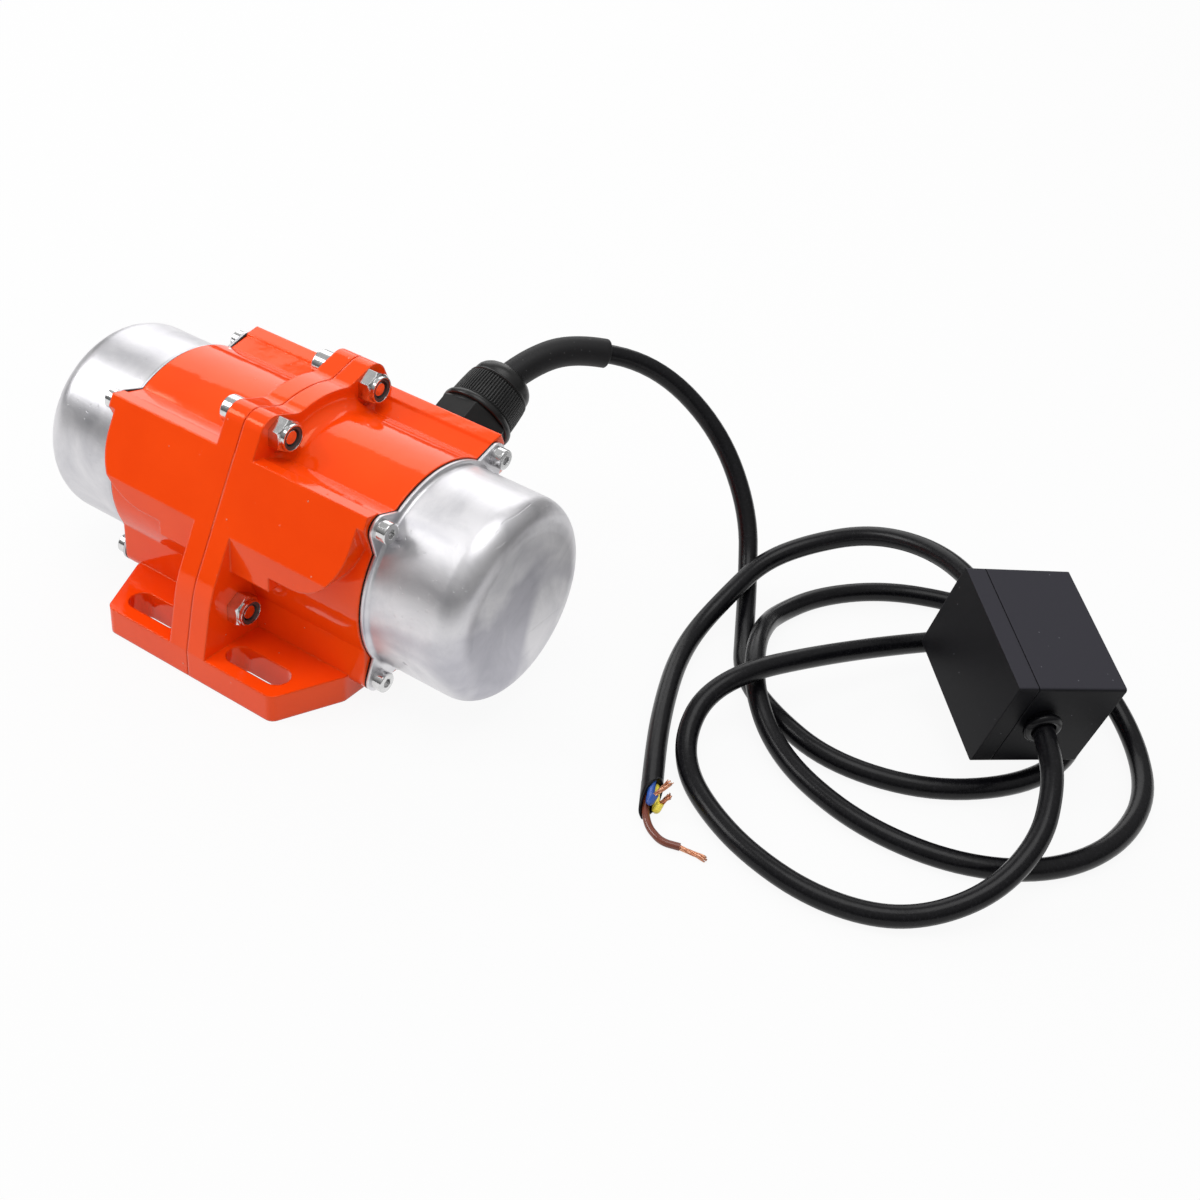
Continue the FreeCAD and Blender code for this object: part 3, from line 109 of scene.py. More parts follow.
def table_finish():
    """White laminate that keeps a pale shadow, and looks white to the eye and to bright metal."""
    material, shader, wire, add = start_finish("white_table")
    grain = add("TexNoise", "Fac", Scale=3.0, Detail=3.0)
    tone = add("MapRange", "Result", Value=grain, To_Min=0.62, To_Max=0.66)
    wire(shader, Base_Color=grey(add, tone), Roughness=0.6)
    ray = add("LightPath", "Is Camera Ray").node.outputs
    seen = add("Math", "Value", {"operation": "MAXIMUM"}, ray["Is Camera Ray"], ray["Is Glossy Ray"])
    share = add("Math", "Value", {"operation": "MULTIPLY"}, seen, TABLE_GLOW)
    glow = add("Emission", "Emission", Color=(1, 1, 1, 1), Strength=1.0)
    mix = add("MixShader", "Shader", None, share, shader.outputs["BSDF"], glow)
    wire(material.node_tree.nodes["Material Output"], Surface=mix)
    return material


def set_out(mesh, material):
    """A piece in the scene with the mesh's own name."""
    piece = bpy.data.objects.new(mesh.name, mesh)
    mesh.materials.append(material)
    scene.collection.objects.link(piece)
    return piece


table_corners = [(x * TABLE_REACH, y * TABLE_REACH, 0) for x, y in ((-1, -1), (1, -1), (1, 1), (-1, 1))]
table_mesh = bpy.data.meshes.new("table")
table_mesh.from_pydata(table_corners, [], [(0, 1, 2, 3)])
table = set_out(table_mesh, table_finish())


def light_room():
    """A dim room for gloss and metal, a soft sky for the rest, and white for the eye."""
    world = bpy.data.worlds.new("room")
    scene.world = world
    world.use_nodes = True
    wire, add = node_maker(world.node_tree)
    height = add("SeparateXYZ", "Z", Vector=add("TexCoord", "Generated"))
    dusk = add("MapRange", "Result", Value=height, From_Max=0.75, To_Min=0.04, To_Max=0.54)
    dome = add("MapRange", "Result", Value=height, To_Min=0.46, To_Max=0.96)
    ray = add("LightPath", "Is Diffuse Ray").node.outputs
    level = add("Mix", "Result", Factor=ray["Is Diffuse Ray"], A=dusk, B=dome)
    for kind in ("Is Camera Ray", "Is Transmission Ray"):
        level = add("Math", "Value", {"operation": "MAXIMUM"}, ray[kind], level)
    wire(world.node_tree.nodes["Background"], Color=(1, 1, 1, 1), Strength=level)


def soft_box(name, place, width, height, power):
    """A rectangular soft light that faces the middle of the object."""
    lamp = bpy.data.lights.new(name, "AREA")
    lamp.shape = "RECTANGLE"
    lamp.size, lamp.size_y = width, height
    lamp.energy = power
    holder = bpy.data.objects.new(name, lamp)
    aim = (LIT_PLACE - Vector(place)).to_track_quat("-Z", "Y")
    holder.matrix_world = Matrix.Translation(place) @ aim.to_matrix().to_4x4()
    scene.collection.objects.link(holder)


light_room()
soft_box("back_panel", (-0.72, 0.94, 0.66), 1.25, 0.95, 5.6)
soft_box("front_soft_box", (-0.94, -0.50, 0.80), 0.46, 0.60, 4.8)
soft_box("overhead_panel", (0.10, -0.06, 1.35), 0.9, 0.8, 5.6)


# ---- Cords --------------------------------------------------------------------------------
# Two round PVC-sheathed cords, 7 mm thick: a long one from the motor's gland, in loose turns
# over each other, to the capacitor box, and a short one from the box to its stripped end.

CORD_RADIUS = 3.5 * MM

MOTOR_CORD = [
    # out of the gland, over and down to the table beside the motor
    (30, 63.4, 70), (31.8, 77, 74.6), (39.8, 95.5, 76.8), (61, 118, 69), (86, 125.5, 49), (106.5, 118.5, 26),
    (118, 103, 8), (130, 81, 3.5), (141, 60, 3.5),
    # first turn of the coil, flat on the table
    (160, 47.5, 3.5), (185, 39.5, 3.5), (215, 47, 3.5), (238, 69, 3.5), (246.5, 94, 3.5), (240, 120, 3.5),
    (225, 142, 3.5), (203, 154, 3.5), (180, 150, 3.5), (157, 139, 3.5), (140, 119, 3.5), (133.5, 97, 4),
    # over the first turn and round the second
    (136.5, 80, 9), (143, 62, 12.5), (152.5, 46.5, 10), (165.2, 35.6, 5), (182.5, 26, 3.5), (208, 19.5, 3.5),
    (236, 23, 3.5), (259, 37.5, 3.5), (272.5, 61, 3.5), (274, 90, 3.5), (262, 115.5, 4), (242.5, 129.5, 11.8),
    # back over both turns on the left, and round to the box
    (222, 134, 12), (202, 125.5, 12), (185.5, 109, 11.5), (172, 89, 13.5), (160, 66, 17), (149, 44, 19),
    (142.5, 28.5, 14.5), (144.5, 15.5, 8), (152.5, 4.5, 4.2), (166, -5, 3.5), (184, -13, 3.5),
    (206, -16.5, 3.5), (226, -12, 3.5), (240, -1, 4.5), (251.5, 14, 10.5), (255.7, 32, 19), (251.6, 48.3, 25),
    (245.1, 61.9, 27.3), (237.6, 70.3, 29.9),
]

SUPPLY_CORD = [
    (202.6, 104.4, 40.4), (192, 112.9, 41.9), (171, 124.5, 38), (149.5, 127, 31.5), (131.5, 118, 23),
    (121.5, 104.5, 17.5), (119.3, 86, 12.5), (117, 69, 5.5), (120, 52, 3.5), (127, 33, 3.5), (137, 11, 3.5),
    (146.5, -6.4, 3.5),
]


def smooth_line(name, route, radius):
    """A NURBS curve through the route's control points, in millimetres, with a round section."""
    curve = bpy.data.curves.new(name, "CURVE")
    curve.dimensions = "3D"
    spline = curve.splines.new("NURBS")
    spline.points.add(len(route) - 1)
    for point, place in zip(spline.points, route):
        point.co = (*(Vector(place) * MM), 1)
    spline.order_u = 3
    spline.use_endpoint_u = True
    spline.resolution_u = 8
    curve.bevel_depth = radius
    curve.bevel_resolution = 5
    curve.use_fill_caps = True
    line = bpy.data.objects.new(name, curve)
    scene.collection.objects.link(line)
    return line


def two_tones(add, share, start, first, stop, last):
    """A colour that goes from the first tone to the last as the share goes from start to stop."""
    colour = add("ValToRGB", "Color", Fac=share)
    for element, place, tone in zip(colour.node.color_ramp.elements, (start, stop), (first, last)):
        element.position = place
        element.color = (*tone, 1)
    return colour


def cord_finish():
    """Black PVC sheath, half gloss, with a faint ripple and a dusting of paler scuffs."""
    material, shader, wire, add = start_finish("black_sheath")
    place = add("TexCoord", "Object")
    ripple = add("TexNoise", "Fac", Vector=place, Scale=230.0, Detail=3.0, Roughness=0.6)
    dust = add("TexNoise", "Fac", Vector=place, Scale=1100.0, Detail=5.0, Roughness=0.75)
    scuff = add("TexNoise", "Fac", Vector=place, Scale=40.0, Detail=4.0)
    wire(shader, Specular_IOR_Level=0.25,
         Base_Color=two_tones(add, dust, 0.50, (0.0030, 0.0029, 0.0040), 0.80, (0.016, 0.0155, 0.0185)),
         Roughness=add("MapRange", "Result", Value=scuff, From_Min=0.3, From_Max=0.7, To_Min=0.24, To_Max=0.33),
         Normal=add("Bump", "Normal", Strength=0.16, Distance=0.0004, Height=ripple))
    return material


sheath = cord_finish()
motor_cord = smooth_line("motor_cord_sheath", MOTOR_CORD, CORD_RADIUS)
supply_cord = smooth_line("supply_cord_sheath", SUPPLY_CORD, CORD_RADIUS)
for cord, node in ((motor_cord, "motor_cord"), (supply_cord, "supply_cord")):
    cord.data.materials.append(sheath)
    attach(cord, "housing")
    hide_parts(node)


# ---- Sleeve on the motor cord -------------------------------------------------------------
# A plain black rubber sleeve pushed over the cord where it leaves the gland, to keep it from
# kinking. Its free end is cut square and a little rounded, and it grips the cord all along.

SLEEVE_RADIUS = 5.2 * MM
SLEEVE_LENGTH = 45 * MM
SLEEVE_STEP = 1.5 * MM
LIP_STEP = 0.3 * MM
LIP_DROPS = (0.1 * MM, 0.35 * MM, 0.8 * MM)
LIP_MOUTH = CORD_RADIUS + 0.1 * MM


def line_points(route):
    """Points close together along the smooth curve of a route, in metres."""
    bare = smooth_line("bare_line", route, 0)
    bare.data.use_fill_caps = False
    mesh = bpy.data.meshes.new_from_object(bare.evaluated_get(bpy.context.evaluated_depsgraph_get()))
    points = [vertex.co.copy() for vertex in mesh.vertices]
    bpy.data.meshes.remove(mesh)
    bpy.data.curves.remove(bare.data)
    return points


def along_line(points, start, stop, step):
    """Points at even distances from start to stop along a line of close points."""
    walked = [0.0]
    for before, after in zip(points, points[1:]):
        walked.append(walked[-1] + (after - before).length)
    count = max(2, round((stop - start) / step))
    found = []
    index = 0
    for number in range(count + 1):
        goal = start + (stop - start) * number / count
        while index < len(walked) - 2 and walked[index + 1] < goal:
            index += 1
        share = (goal - walked[index]) / (walked[index + 1] - walked[index])
        found.append(points[index].lerp(points[index + 1], share))
    return found


def ring(work, middle, side, up, reaches):
    """New points round a middle, one for each reach, turning from side towards up."""
    points = []
    for step, reach in enumerate(reaches):
        angle = 2 * math.pi * step / len(reaches)
        points.append(work.verts.new(middle + (side * math.cos(angle) + up * math.sin(angle)) * reach))
    return points


def skin(work, rings):
    """Smooth faces from each ring to the next, in one row for each pair."""
    rows = []
    for near, far in zip(rings, rings[1:]):
        row = []
        for step in range(len(near)):
            after = (step + 1) % len(near)
            face = work.faces.new((near[step], near[after], far[after], far[step]))
            face.smooth = True
            row.append(face)
        rows.append(row)
    return rows


def close_mesh(work, name):
    """The finished mesh, with its faces looking outwards."""
    bmesh.ops.recalc_face_normals(work, faces=work.faces)
    mesh = bpy.data.meshes.new(name)
    work.to_mesh(mesh)
    work.free()
    return mesh


def tube_mesh(name, points, radii, sides=40):
    """A round skin along points, one radius for each of them, with flat ends."""
    work = bmesh.new()
    side = Vector((0, 0, 1))
    rings = []
    for index, point in enumerate(points):
        before = points[max(index - 1, 0)]
        after = points[min(index + 1, len(points) - 1)]
        # a point that is given twice has no way of its own, and its ring then faces along the shaft
        along = (after - before).normalized() if after != before else Vector((1, 0, 0))
        side = (side - along * side.dot(along)).normalized()
        rings.append(ring(work, point, side, along.cross(side), [radii[index]] * sides))
    skin(work, rings)
    work.faces.new(list(reversed(rings[0])))
    work.faces.new(rings[-1])
    return close_mesh(work, name)


def rubber_finish():
    """Dull black rubber with a soft grain and specks of pale dust."""
    material, shader, wire, add = start_finish("black_rubber")
    place = add("TexCoord", "Object")
    grain = add("TexNoise", "Fac", Vector=place, Scale=1500.0, Detail=4.0, Roughness=0.7)
    cloud = add("TexNoise", "Fac", Vector=place, Scale=60.0, Detail=3.0)
    specks = add("TexVoronoi", "Distance", Vector=place, Scale=420.0, Randomness=1.0)
    wire(shader, Specular_IOR_Level=0.35,
         Base_Color=two_tones(add, specks, 0.07, (0.045, 0.044, 0.046), 0.12, (0.0060, 0.0058, 0.0068)),
         Roughness=add("MapRange", "Result", Value=cloud, To_Min=0.46, To_Max=0.62),
         Normal=add("Bump", "Normal", Strength=0.3, Distance=0.0001, Height=grain))
    return material


rubber = rubber_finish()
cord_line = line_points(MOTOR_CORD)
wall_points = along_line(cord_line, 0.0, SLEEVE_LENGTH, SLEEVE_STEP)
lip_points = along_line(cord_line, SLEEVE_LENGTH, SLEEVE_LENGTH + LIP_STEP * len(LIP_DROPS), LIP_STEP)[1:]
sleeve_radii = [SLEEVE_RADIUS] * len(wall_points) + [SLEEVE_RADIUS - drop for drop in LIP_DROPS] + [LIP_MOUTH]
sleeve = set_out(tube_mesh("cable_sleeve_rubber", wall_points + lip_points + lip_points[-1:], sleeve_radii),
                 rubber)
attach(sleeve, "housing")
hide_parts("cable_sleeve")


# ---- Cast half shells ---------------------------------------------------------------------
# Two aluminium castings with feet, ridges for the cover screws and a flat pad on each flank,
# bolted flange to flange. They are sprayed in a thick glossy orange that pools in the corners.


def paint_finish():
    """Gloss orange enamel: slight orange peel, casting waves under it, and a few pips."""
    material, shader, wire, add = start_finish("orange_enamel")
    place = add("TexCoord", "Object")
    cloud = add("TexNoise", "Fac", Vector=place, Scale=28.0, Detail=3.0)
    tint = two_tones(add, cloud, 0.3, (0.89, 0.056, 0.0022), 0.7, (0.96, 0.068, 0.0032))
    # pips stand in patches, with thin paint on their tops
    pips = add("TexVoronoi", "Distance", Vector=place, Scale=190.0, Randomness=1.0)
    patch = add("TexNoise", "Fac", Vector=place, Scale=60.0, Detail=2.0)
    pip_height = add("Math", "Value", {"operation": "MULTIPLY"},
                     add("MapRange", "Result", Value=pips, From_Min=0.03, From_Max=0.07, To_Min=1.0, To_Max=0.0),
                     add("MapRange", "Result", Value=patch, From_Min=0.50, From_Max=0.56))
    thin_paint = add("Math", "Value", {"operation": "MULTIPLY"}, pip_height, 0.45)
    # the sprayed skin, from the broadest form to the finest
    rounded = add("Bevel", "Normal", {"samples": 6}, Radius=0.0009)
    waves = add("TexNoise", "Fac", Vector=place, Scale=70.0, Detail=2.0)
    wavy = add("Bump", "Normal", Strength=0.22, Distance=0.0007, Height=waves, Normal=rounded)
    peel = add("TexNoise", "Fac", Vector=place, Scale=420.0, Detail=2.0, Roughness=0.5)
    peeled = add("Bump", "Normal", Strength=0.10, Distance=0.0002, Height=peel, Normal=wavy)
    wire(shader, Specular_Tint=(1.0, 0.72, 0.45, 1),
         Base_Color=add("MixRGB", "Color", Fac=thin_paint, Color1=tint, Color2=(0.95, 0.50, 0.30, 1)),
         Roughness=add("MapRange", "Result", Value=cloud, To_Min=0.05, To_Max=0.10),
         Normal=add("Bump", "Normal", Strength=0.8, Distance=0.0004, Height=pip_height, Normal=peeled))
    return material


def refinish(material, *names):
    """Gives CAD nodes their material."""
    for name in names:
        nodes[name].data.materials.clear()
        nodes[name].data.materials.append(material)


refinish(paint_finish(), "right_half_shell", "left_half_shell")


# ---- End covers ---------------------------------------------------------------------------
# Deep drawn stainless cups over the eccentric weights. Drawing leaves faint lines along the
# wall, a clouded satin finish with scuffs, and a polished look on the rolled corner.


def drawn_steel_finish():
    """Satin stainless sheet with drawing lines, clouds, dull stains, small scuffs and scratches."""
    material, shader, wire, add = start_finish("drawn_stainless")
    place = add("TexCoord", "Object")
    clouds = add("TexNoise", "Fac", Vector=place, Scale=48.0, Detail=5.0, Roughness=0.6, Distortion=0.5)
    stains = add("TexNoise", "Fac", Vector=place, Scale=17.0, Detail=3.0, Distortion=1.0)
    askew = add("Mapping", "Vector", Vector=place, Rotation=(0.5, 0.3, 0.7), Scale=(1.0, 0.6, 1.3))
    flakes = add("TexVoronoi", "Distance", {"distance": "CHEBYCHEV"}, Vector=askew, Scale=38.0, Randomness=1.0)
    clouded = add("MixRGB", "Color", Color1=(0.56, 0.555, 0.585, 1), Color2=(0.80, 0.79, 0.81, 1),
                  Fac=add("MapRange", "Result", Value=clouds, From_Min=0.25, From_Max=0.6))
    stained = add("MixRGB", "Color", {"blend_type": "MULTIPLY"}, Color1=clouded, Color2=(0.66, 0.66, 0.70, 1),
                  Fac=add("MapRange", "Result", Value=stains, From_Min=0.55, From_Max=0.68))
    scuffed = add("MixRGB", "Color", Color1=stained, Color2=(0.30, 0.30, 0.32, 1),
                  Fac=add("MapRange", "Result", Value=flakes, From_Min=0.020, From_Max=0.034, To_Min=0.5,
                          To_Max=0.0))
    stretched = add("Mapping", "Vector", Vector=place, Scale=(0.05, 1.0, 1.0))
    lines = add("TexNoise", "Fac", Vector=stretched, Scale=1400.0, Detail=3.0, Roughness=0.6)
    slanted = add("Mapping", "Vector", Vector=place, Rotation=(0.9, 0.3, 0.2), Scale=(1.0, 0.02, 1.0))
    scratch = add("TexNoise", "Fac", Vector=slanted, Scale=900.0, Detail=0.0)
    thin = add("MapRange", "Result", Value=scratch, From_Min=0.76, From_Max=0.80)
    rounded = add("Bevel", "Normal", {"samples": 6}, Radius=0.0006)
    drawn = add("Bump", "Normal", Strength=0.14, Distance=0.0001, Height=lines, Normal=rounded)
    dented = add("Bump", "Normal", Strength=0.12, Distance=0.0012, Height=stains, Normal=drawn)
    wire(shader, Metallic=1.0, Base_Color=scuffed,
         Roughness=add("MapRange", "Result", Value=clouds, From_Min=0.3, From_Max=0.75, To_Min=0.35, To_Max=0.45),
         Normal=add("Bump", "Normal", {"invert": True}, Strength=0.5, Distance=0.00008, Height=thin,
                    Normal=dented))
    return material


refinish(drawn_steel_finish(), "right_end_cover", "left_end_cover")
refinish(rubber, "right_cover_gasket", "left_cover_gasket")


# ---- Flange bolts and cover screws --------------------------------------------------------
# Plated steel socket head cap screws. The four flange bolts have knurled heads on the left
# half shell and threaded tips that pass just through their lock nuts on the right one.


def plated_finish():
    """Bright nickel plate with fine handling marks."""
    material, shader, wire, add = start_finish("bright_plate")
    place = add("TexCoord", "Object")
    cloud = add("TexNoise", "Fac", Vector=place, Scale=320.0, Detail=4.0, Roughness=0.6)
    tone = add("MapRange", "Result", Value=cloud, From_Min=0.3, From_Max=0.7, To_Min=0.62, To_Max=0.80)
    fine = add("TexNoise", "Fac", Vector=place, Scale=2400.0, Detail=2.0)
    rounded = add("Bevel", "Normal", {"samples": 4}, Radius=0.00035)
    wire(shader, Metallic=1.0, Base_Color=grey(add, tone),
         Roughness=add("MapRange", "Result", Value=cloud, To_Min=0.08, To_Max=0.20),
         Normal=add("Bump", "Normal", Strength=0.08, Distance=0.00005, Height=fine, Normal=rounded))
    return material


def nylon_finish(name, low, high, roughness):
    """Moulded nylon with a faint flow pattern and softened edges."""
    material, shader, wire, add = start_finish(name)
    place = add("TexCoord", "Object")
    flow = add("TexNoise", "Fac", Vector=place, Scale=180.0, Detail=4.0, Distortion=0.8)
    grain = add("TexNoise", "Fac", Vector=place, Scale=2600.0, Detail=3.0)
    rounded = add("Bevel", "Normal", {"samples": 4}, Radius=0.0003)
    wire(shader, Specular_IOR_Level=0.4,
         Base_Color=grey(add, add("MapRange", "Result", Value=flow, To_Min=low, To_Max=high)),
         Roughness=add("MapRange", "Result", Value=flow, To_Min=roughness - 0.07, To_Max=roughness + 0.07),
         Normal=add("Bump", "Normal", Strength=0.15, Distance=0.00008, Height=grain, Normal=rounded))
    return material


plate = plated_finish()
refinish(plate, "right_cover_screws", "left_cover_screws", "flange_bolts", "flange_nuts")
refinish(nylon_finish("grey_nylon", 0.045, 0.075, 0.35), "flange_nut_inserts")


# ---- Cable gland --------------------------------------------------------------------------
# A black nylon gland screwed into the rear pad: a hexagon body on an O-ring, and a clamping
# nut with a rolled lower rim, a finely ribbed grip and a domed mouth round a rubber seal.

GLAND_SLOPE = math.radians(26)
GLAND_AXIS = Vector((0, math.cos(GLAND_SLOPE), math.sin(GLAND_SLOPE)))
GLAND_CENTRE = Vector((30.9, 0, 39.2)) * MM

# rows are (height, radius, share of the ribs or of the hexagon), from the shaft's axis outwards
NUT_ROWS = [
    (54.9, 11.4, 0), (54.5, 12.6, 0), (54.6, 13.2, 0), (55.0, 13.5, 0), (55.9, 13.55, 0), (56.7, 13.3, 0),
    (57.3, 12.7, 0), (57.8, 12.25, 0), (58.1, 12.0, 0), (58.2, 12.0, 1), (63.0, 11.75, 1), (67.2, 11.4, 1),
    (67.9, 10.9, 1), (68.0, 10.9, 0), (68.1, 11.5, 0), (68.3, 11.65, 0), (68.6, 11.55, 0), (68.7, 11.0, 0),
    (69.0, 10.8, 0), (69.6, 10.9, 0), (70.6, 11.0, 0), (71.8, 10.75, 0), (72.9, 10.15, 0), (73.9, 9.25, 0),
    (74.7, 8.1, 0), (75.1, 7.0, 0), (75.1, 6.3, 0), (74.8, 5.8, 0), (74.0, 5.5, 0), (70.0, 5.4, 0),
]
RIBS = 72
RIB_HEIGHT = 0.45
RIB_SECTION = (1, 1, 0.9, 0, 0, 0.9)

HEXAGON_CORNER = 13.7
HEXAGON_TURN = math.radians(50)
HEXAGON_SIDES = 180
HEXAGON_ROWS = [
    (44.8, 12.2, 0), (45.0, 12.7, 0), (45.6, HEXAGON_CORNER, 1), (53.6, HEXAGON_CORNER, 1), (54.9, 12.7, 0),
    (55.4, 11.0, 0),
]


def rib_rise(step):
    """How far the grip stands out at one step round it."""
    return RIB_HEIGHT * RIB_SECTION[step % len(RIB_SECTION)]


def hexagon_rise(step):
    """How far the hexagon's side stands inside the circle through its corners, below zero."""
    turn = (2 * math.pi * step / HEXAGON_SIDES - HEXAGON_TURN) % (math.pi / 3) - math.pi / 6
    return HEXAGON_CORNER * (math.cos(math.pi / 6) / math.cos(turn) - 1)


def turned_mesh(name, centre, axis, rows, sides, rise=None):
    """A skin turned round an axis through rows of (height, radius, share of rise), in millimetres."""
    work = bmesh.new()
    across = Vector((1, 0, 0)) if abs(axis.x) < 0.5 else Vector((0, 0, 1))
    across = (across - axis * across.dot(axis)).normalized()
    up = axis.cross(across)
    rings = []
    for height, radius, share in rows:
        reaches = [(radius + (share * rise(step) if rise else 0)) * MM for step in range(sides)]
        rings.append(ring(work, centre + axis * height * MM, across, up, reaches))
    shares = [share for height, radius, share in rows]
    for faces, near, far in zip(skin(work, rings), shares, shares[1:]):
        for face in faces:
            face.smooth = near == 0 or far == 0
    return close_mesh(work, name)


gland_nylon = nylon_finish("black_nylon", 0.005, 0.012, 0.32)
gland_nut = set_out(turned_mesh("gland_clamping_nut", GLAND_CENTRE, GLAND_AXIS, NUT_ROWS,
                                RIBS * len(RIB_SECTION), rib_rise), gland_nylon)
gland_hexagon = set_out(turned_mesh("gland_hexagon", GLAND_CENTRE, GLAND_AXIS, HEXAGON_ROWS,
                                    HEXAGON_SIDES, hexagon_rise), gland_nylon)
for piece, node in ((gland_nut, "gland_nut"), (gland_hexagon, "gland_body")):
    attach(piece, "housing")
    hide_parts(node)
refinish(rubber, "gland_o_ring", "gland_seal")


# ---- Capacitor box ------------------------------------------------------------------------
# A small black moulded box with a press-in lid on one side, finely spark-grained all over.
# It hangs on the two cords, which enter through rubber bushes, and holds the run capacitor.

BUSH_ROWS = [
    (-0.8, 5.2, 0), (0.2, 5.3, 0), (0.5, 5.9, 0), (1.0, 6.25, 0), (1.7, 6.3, 0), (2.4, 6.0, 0), (2.9, 5.4, 0),
    (3.1, 4.7, 0), (3.0, 4.1, 0), (2.5, 3.75, 0), (0.0, 3.7, 0),
]
BUSH_SIDES = 64
BUSH_SHIFT = 0.5 * MM


def box_finish():
    """Matt black moulding with an even spark grain, rub marks, pale specks of dust, and painted light that makes
    its upward faces paler.
    """
    material, shader, wire, add = start_finish("grained_black")
    place = add("TexCoord", "Object")
    rub = add("TexNoise", "Fac", Vector=place, Scale=45.0, Detail=4.0, Distortion=1.0)
    black = two_tones(add, rub, 0.3, (0.0045, 0.0045, 0.0058), 0.8, (0.0080, 0.0079, 0.0098))
    # painted light: faces turned upwards are made paler and a little blue, as if lit from above
    facing = add("SeparateXYZ", "Z", Vector=add("TexCoord", "Normal"))
    painted_top_light = add("MixRGB", "Color", Color1=black, Color2=(0.034, 0.033, 0.041, 1),
                 Fac=add("MapRange", "Result", Value=facing, From_Min=0.4, From_Max=0.9))
    # pale specks of dust, laid over the painted top light
    specks = add("TexVoronoi", "Distance", Vector=place, Scale=260.0, Randomness=1.0)
    dust_and_top_light = add("MixRGB", "Color", Color1=painted_top_light, Color2=(0.16, 0.16, 0.18, 1),
                Fac=add("MapRange", "Result", Value=specks, From_Min=0.035, From_Max=0.065, To_Min=0.8,
                        To_Max=0.0))
    grain = add("TexNoise", "Fac", Vector=place, Scale=3200.0, Detail=3.0, Roughness=0.7)
    rounded = add("Bevel", "Normal", {"samples": 6}, Radius=0.0006)
    wire(shader, Specular_IOR_Level=0.11, Base_Color=dust_and_top_light,
         Roughness=add("MapRange", "Result", Value=rub, To_Min=0.40, To_Max=0.52),
         Normal=add("Bump", "Normal", Strength=0.3, Distance=0.00006, Height=grain, Normal=rounded))
    return material


def middle_of(node):
    """The middle of a CAD node's box."""
    low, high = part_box(node)
    return (low + high) / 2


refinish(box_finish(), "capacitor_box_base", "capacitor_box_lid")
refinish(nylon_finish("white_can", 0.6, 0.68, 0.4), "run_capacitor")

box_run = (middle_of("box_outlet_bush") - middle_of("box_inlet_bush")).normalized()
for node, outward in (("box_inlet_bush", -box_run), ("box_outlet_bush", box_run)):
    bush = set_out(turned_mesh(node + "_lip", middle_of(node) + outward * BUSH_SHIFT, outward, BUSH_ROWS,
                               BUSH_SIDES), sheath)
    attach(bush, "housing")
    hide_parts(node)


# ---- Stripped wires -----------------------------------------------------------------------
# Three PVC insulated wires come out of the cut sheath: brown, blue, and yellow with green.
# Each ends in a few millimetres of bare, slightly splayed copper strands.

SHEATH_END = Vector((146.5, -6.4, 3.5))
SHEATH_RUN = Vector((0.479, -0.878, 0))
SHEATH_SIDE = Vector((0.878, 0.479, 0))
SHEATH_SIDES = 48
# rows are (radius, start, share of the slant), over the outside, the cut edge and the bore
SHEATH_ROWS = [
    (3.5, -0.6, 0), (3.5, 0.2, 0.5), (3.52, 0, 0.97), (3.4, 0.1, 1.0), (2.85, 0.1, 1.0), (2.75, 0, 0.97),
    (2.75, 0.2, 0.5), (2.75, -0.6, 0),
]
SLANT_REACH = 6.4
SLANT_TURN = math.radians(222)

STRANDS = 22
STRAND_RADIUS = 0.17
STRAND_STEPS = 8
STRAND_TWIST = 2.4
BUNDLE_RADIUS = 0.72
BARE_ENDS = [
    ((151.7, -14.9, 7.7), (153.0, -13.0, 10.4), (154.9, -10.8, 13.2)),
    ((153.8, -14.1, 5.0), (154.8, -13.0, 6.9), (156.1, -11.9, 8.7)),
    ((165.6, -22.3, 1.3), (170.4, -21.6, 1.2), (175.4, -20.7, 0.9)),
]


def insulation_finish(name, colour):
    """Thin glossy wire insulation with a faint drawn grain."""
    material, shader, wire, add = start_finish(name)
    cloud = add("TexNoise", "Fac", Vector=add("TexCoord", "Object"), Scale=500.0, Detail=3.0)
    wire(shader,
         Base_Color=add("HueSaturation", "Color", Color=(*colour, 1),
                        Value=add("MapRange", "Result", Value=cloud, To_Min=0.85, To_Max=1.15)),
         Roughness=add("MapRange", "Result", Value=cloud, To_Min=0.14, To_Max=0.26))
    return material


def copper_finish():
    """Bright bare copper, a little darkened in places."""
    material, shader, wire, add = start_finish("bare_copper")
    cloud = add("TexNoise", "Fac", Vector=add("TexCoord", "Object"), Scale=700.0, Detail=4.0)
    wire(shader, Metallic=1.0,
         Base_Color=two_tones(add, cloud, 0.3, (0.60, 0.22, 0.11), 0.7, (0.95, 0.55, 0.36)),
         Roughness=add("MapRange", "Result", Value=cloud, To_Min=0.22, To_Max=0.4))
    return material


def slanted_sheath_mesh(name):
    """The last of the sheath, cut slantwise, with its wall thickness in sight."""
    work = bmesh.new()
    rings = []
    for radius, start, trim in SHEATH_ROWS:
        points = []
        for step in range(SHEATH_SIDES):
            angle = 2 * math.pi * step / SHEATH_SIDES
            offset = SHEATH_SIDE * math.cos(angle) + Vector((0, 0, 1)) * math.sin(angle)
            nick = 0.25 * math.sin(5 * angle) + 0.15 * math.sin(11 * angle + 1)
            reach = start + trim * (SLANT_REACH * (1 + math.cos(angle - SLANT_TURN)) + nick)
            points.append(work.verts.new((SHEATH_END + SHEATH_RUN * reach + offset * radius) * MM))
        rings.append(points)
    skin(work, rings)
    return close_mesh(work, name)


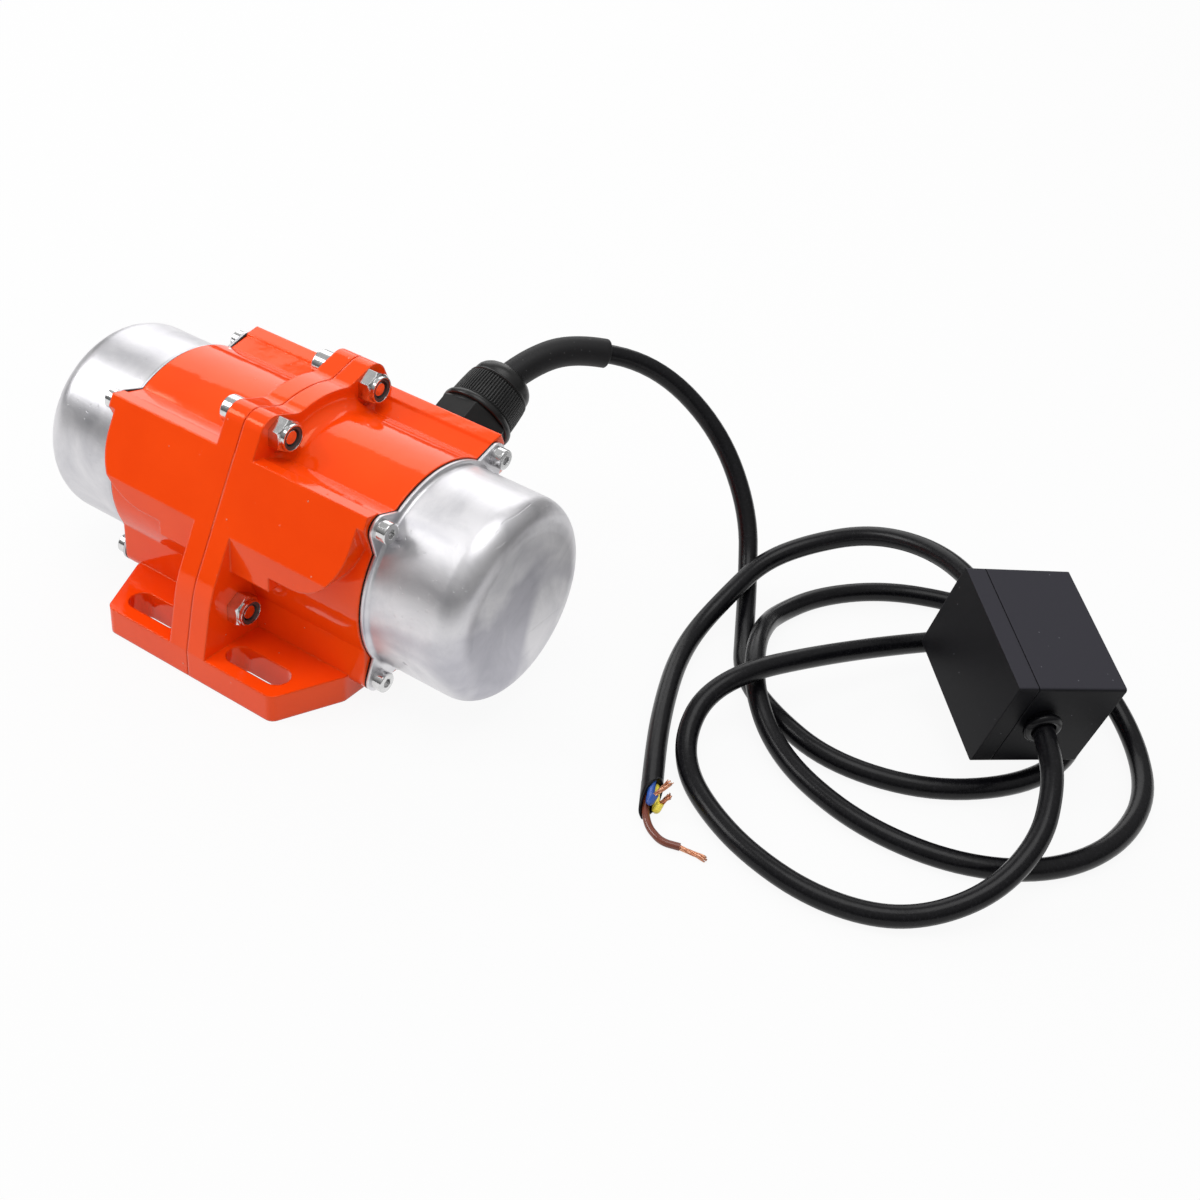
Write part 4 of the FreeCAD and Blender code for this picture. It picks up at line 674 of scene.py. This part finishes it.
def strand_mesh(name, seed):
    """Fine wires laid in a slack twist along each bare end, fanning out at the tip."""
    chance = random.Random(seed)
    work = bmesh.new()
    for root, bend, tip in BARE_ENDS:
        root, bend, tip = Vector(root), Vector(bend), Vector(tip)
        run = (tip - root).normalized()
        side = run.orthogonal().normalized()
        up = run.cross(side)
        for _ in range(STRANDS):
            angle = 2 * math.pi * chance.random()
            depth = BUNDLE_RADIUS * math.sqrt(chance.random())
            fan = chance.uniform(0.1, 1.0)
            last = chance.uniform(0.82, 1.0)
            rings = []
            for step in range(STRAND_STEPS + 1):
                share = step / STRAND_STEPS * last
                middle = root.lerp(bend, share).lerp(bend.lerp(tip, share), share)
                turn = angle + STRAND_TWIST * share
                reach = depth * (1 + fan * share ** 3)
                place = middle + (side * math.cos(turn) + up * math.sin(turn)) * reach
                place.z = max(place.z, STRAND_RADIUS)
                rings.append(ring(work, place * MM, side, up, [STRAND_RADIUS * MM] * 6))
            skin(work, rings)
            work.faces.new(rings[-1])
    return close_mesh(work, name)


copper = copper_finish()
refinish(insulation_finish("brown_insulation", (0.17, 0.045, 0.026)), "brown_wire")
refinish(insulation_finish("blue_insulation", (0.035, 0.10, 0.40)), "blue_wire")
refinish(insulation_finish("yellow_insulation", (1.0, 0.84, 0.10)), "yellow_green_wire")

sheath_end = set_out(slanted_sheath_mesh("slanted_sheath_end"), sheath)
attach(sheath_end, "housing")

bare_strands = set_out(strand_mesh("bare_copper_strands", 7), copper)
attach(bare_strands, "housing")
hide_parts("copper_ends")


# ---- Inside the motor ---------------------------------------------------------------------
# Stator and rotor of stacked sheet, copper windings, two ball bearings, and a pair of clamped
# steel half discs on each end of the shaft, which shake the motor as it turns.


def machined_finish(name, tone, roughness, grain_scale):
    """Turned or ground steel with fine lines round it and slight stains."""
    material, shader, wire, add = start_finish(name)
    place = add("TexCoord", "Object")
    stain = add("TexNoise", "Fac", Vector=place, Scale=90.0, Detail=4.0)
    level = add("MapRange", "Result", Value=stain, To_Min=tone * 0.85, To_Max=tone * 1.1)
    squeezed = add("Mapping", "Vector", Vector=place, Scale=(1.0, 0.05, 0.05))
    lines = add("TexNoise", "Fac", Vector=squeezed, Scale=grain_scale, Detail=2.0)
    wire(shader, Metallic=1.0, Base_Color=grey(add, level),
         Roughness=add("MapRange", "Result", Value=stain, To_Min=roughness * 0.8, To_Max=roughness * 1.2),
         Normal=add("Bump", "Normal", Strength=0.2, Distance=0.0001, Height=lines))
    return material


refinish(machined_finish("turned_steel", 0.6, 0.28, 3000.0),
         "rotor_shaft", "bearing_spacers", "shaft_keys", "shaft_circlips")
refinish(machined_finish("stacked_sheet", 0.38, 0.5, 2000.0), "stator_core", "rotor_core")
refinish(machined_finish("cast_cage", 0.72, 0.42, 500.0), "cage_end_rings")
refinish(copper, "stator_winding")
refinish(plate, "inner_weight_screws")
cut_steel = machined_finish("flame_cut_steel", 0.32, 0.45, 900.0)
race_steel = machined_finish("race_steel", 0.7, 0.14, 3600.0)
cage_nylon = nylon_finish("cage_nylon", 0.32, 0.4, 0.5)
for side in ("right", "left"):
    refinish(race_steel, f"{side}_bearing_outer_ring", f"{side}_bearing_inner_ring", f"{side}_bearing_balls")
    refinish(cage_nylon, f"{side}_ball_cage")
    refinish(cut_steel, f"{side}_inner_weight", f"{side}_outer_weight")
    refinish(plate, f"{side}_outer_weight_screw")
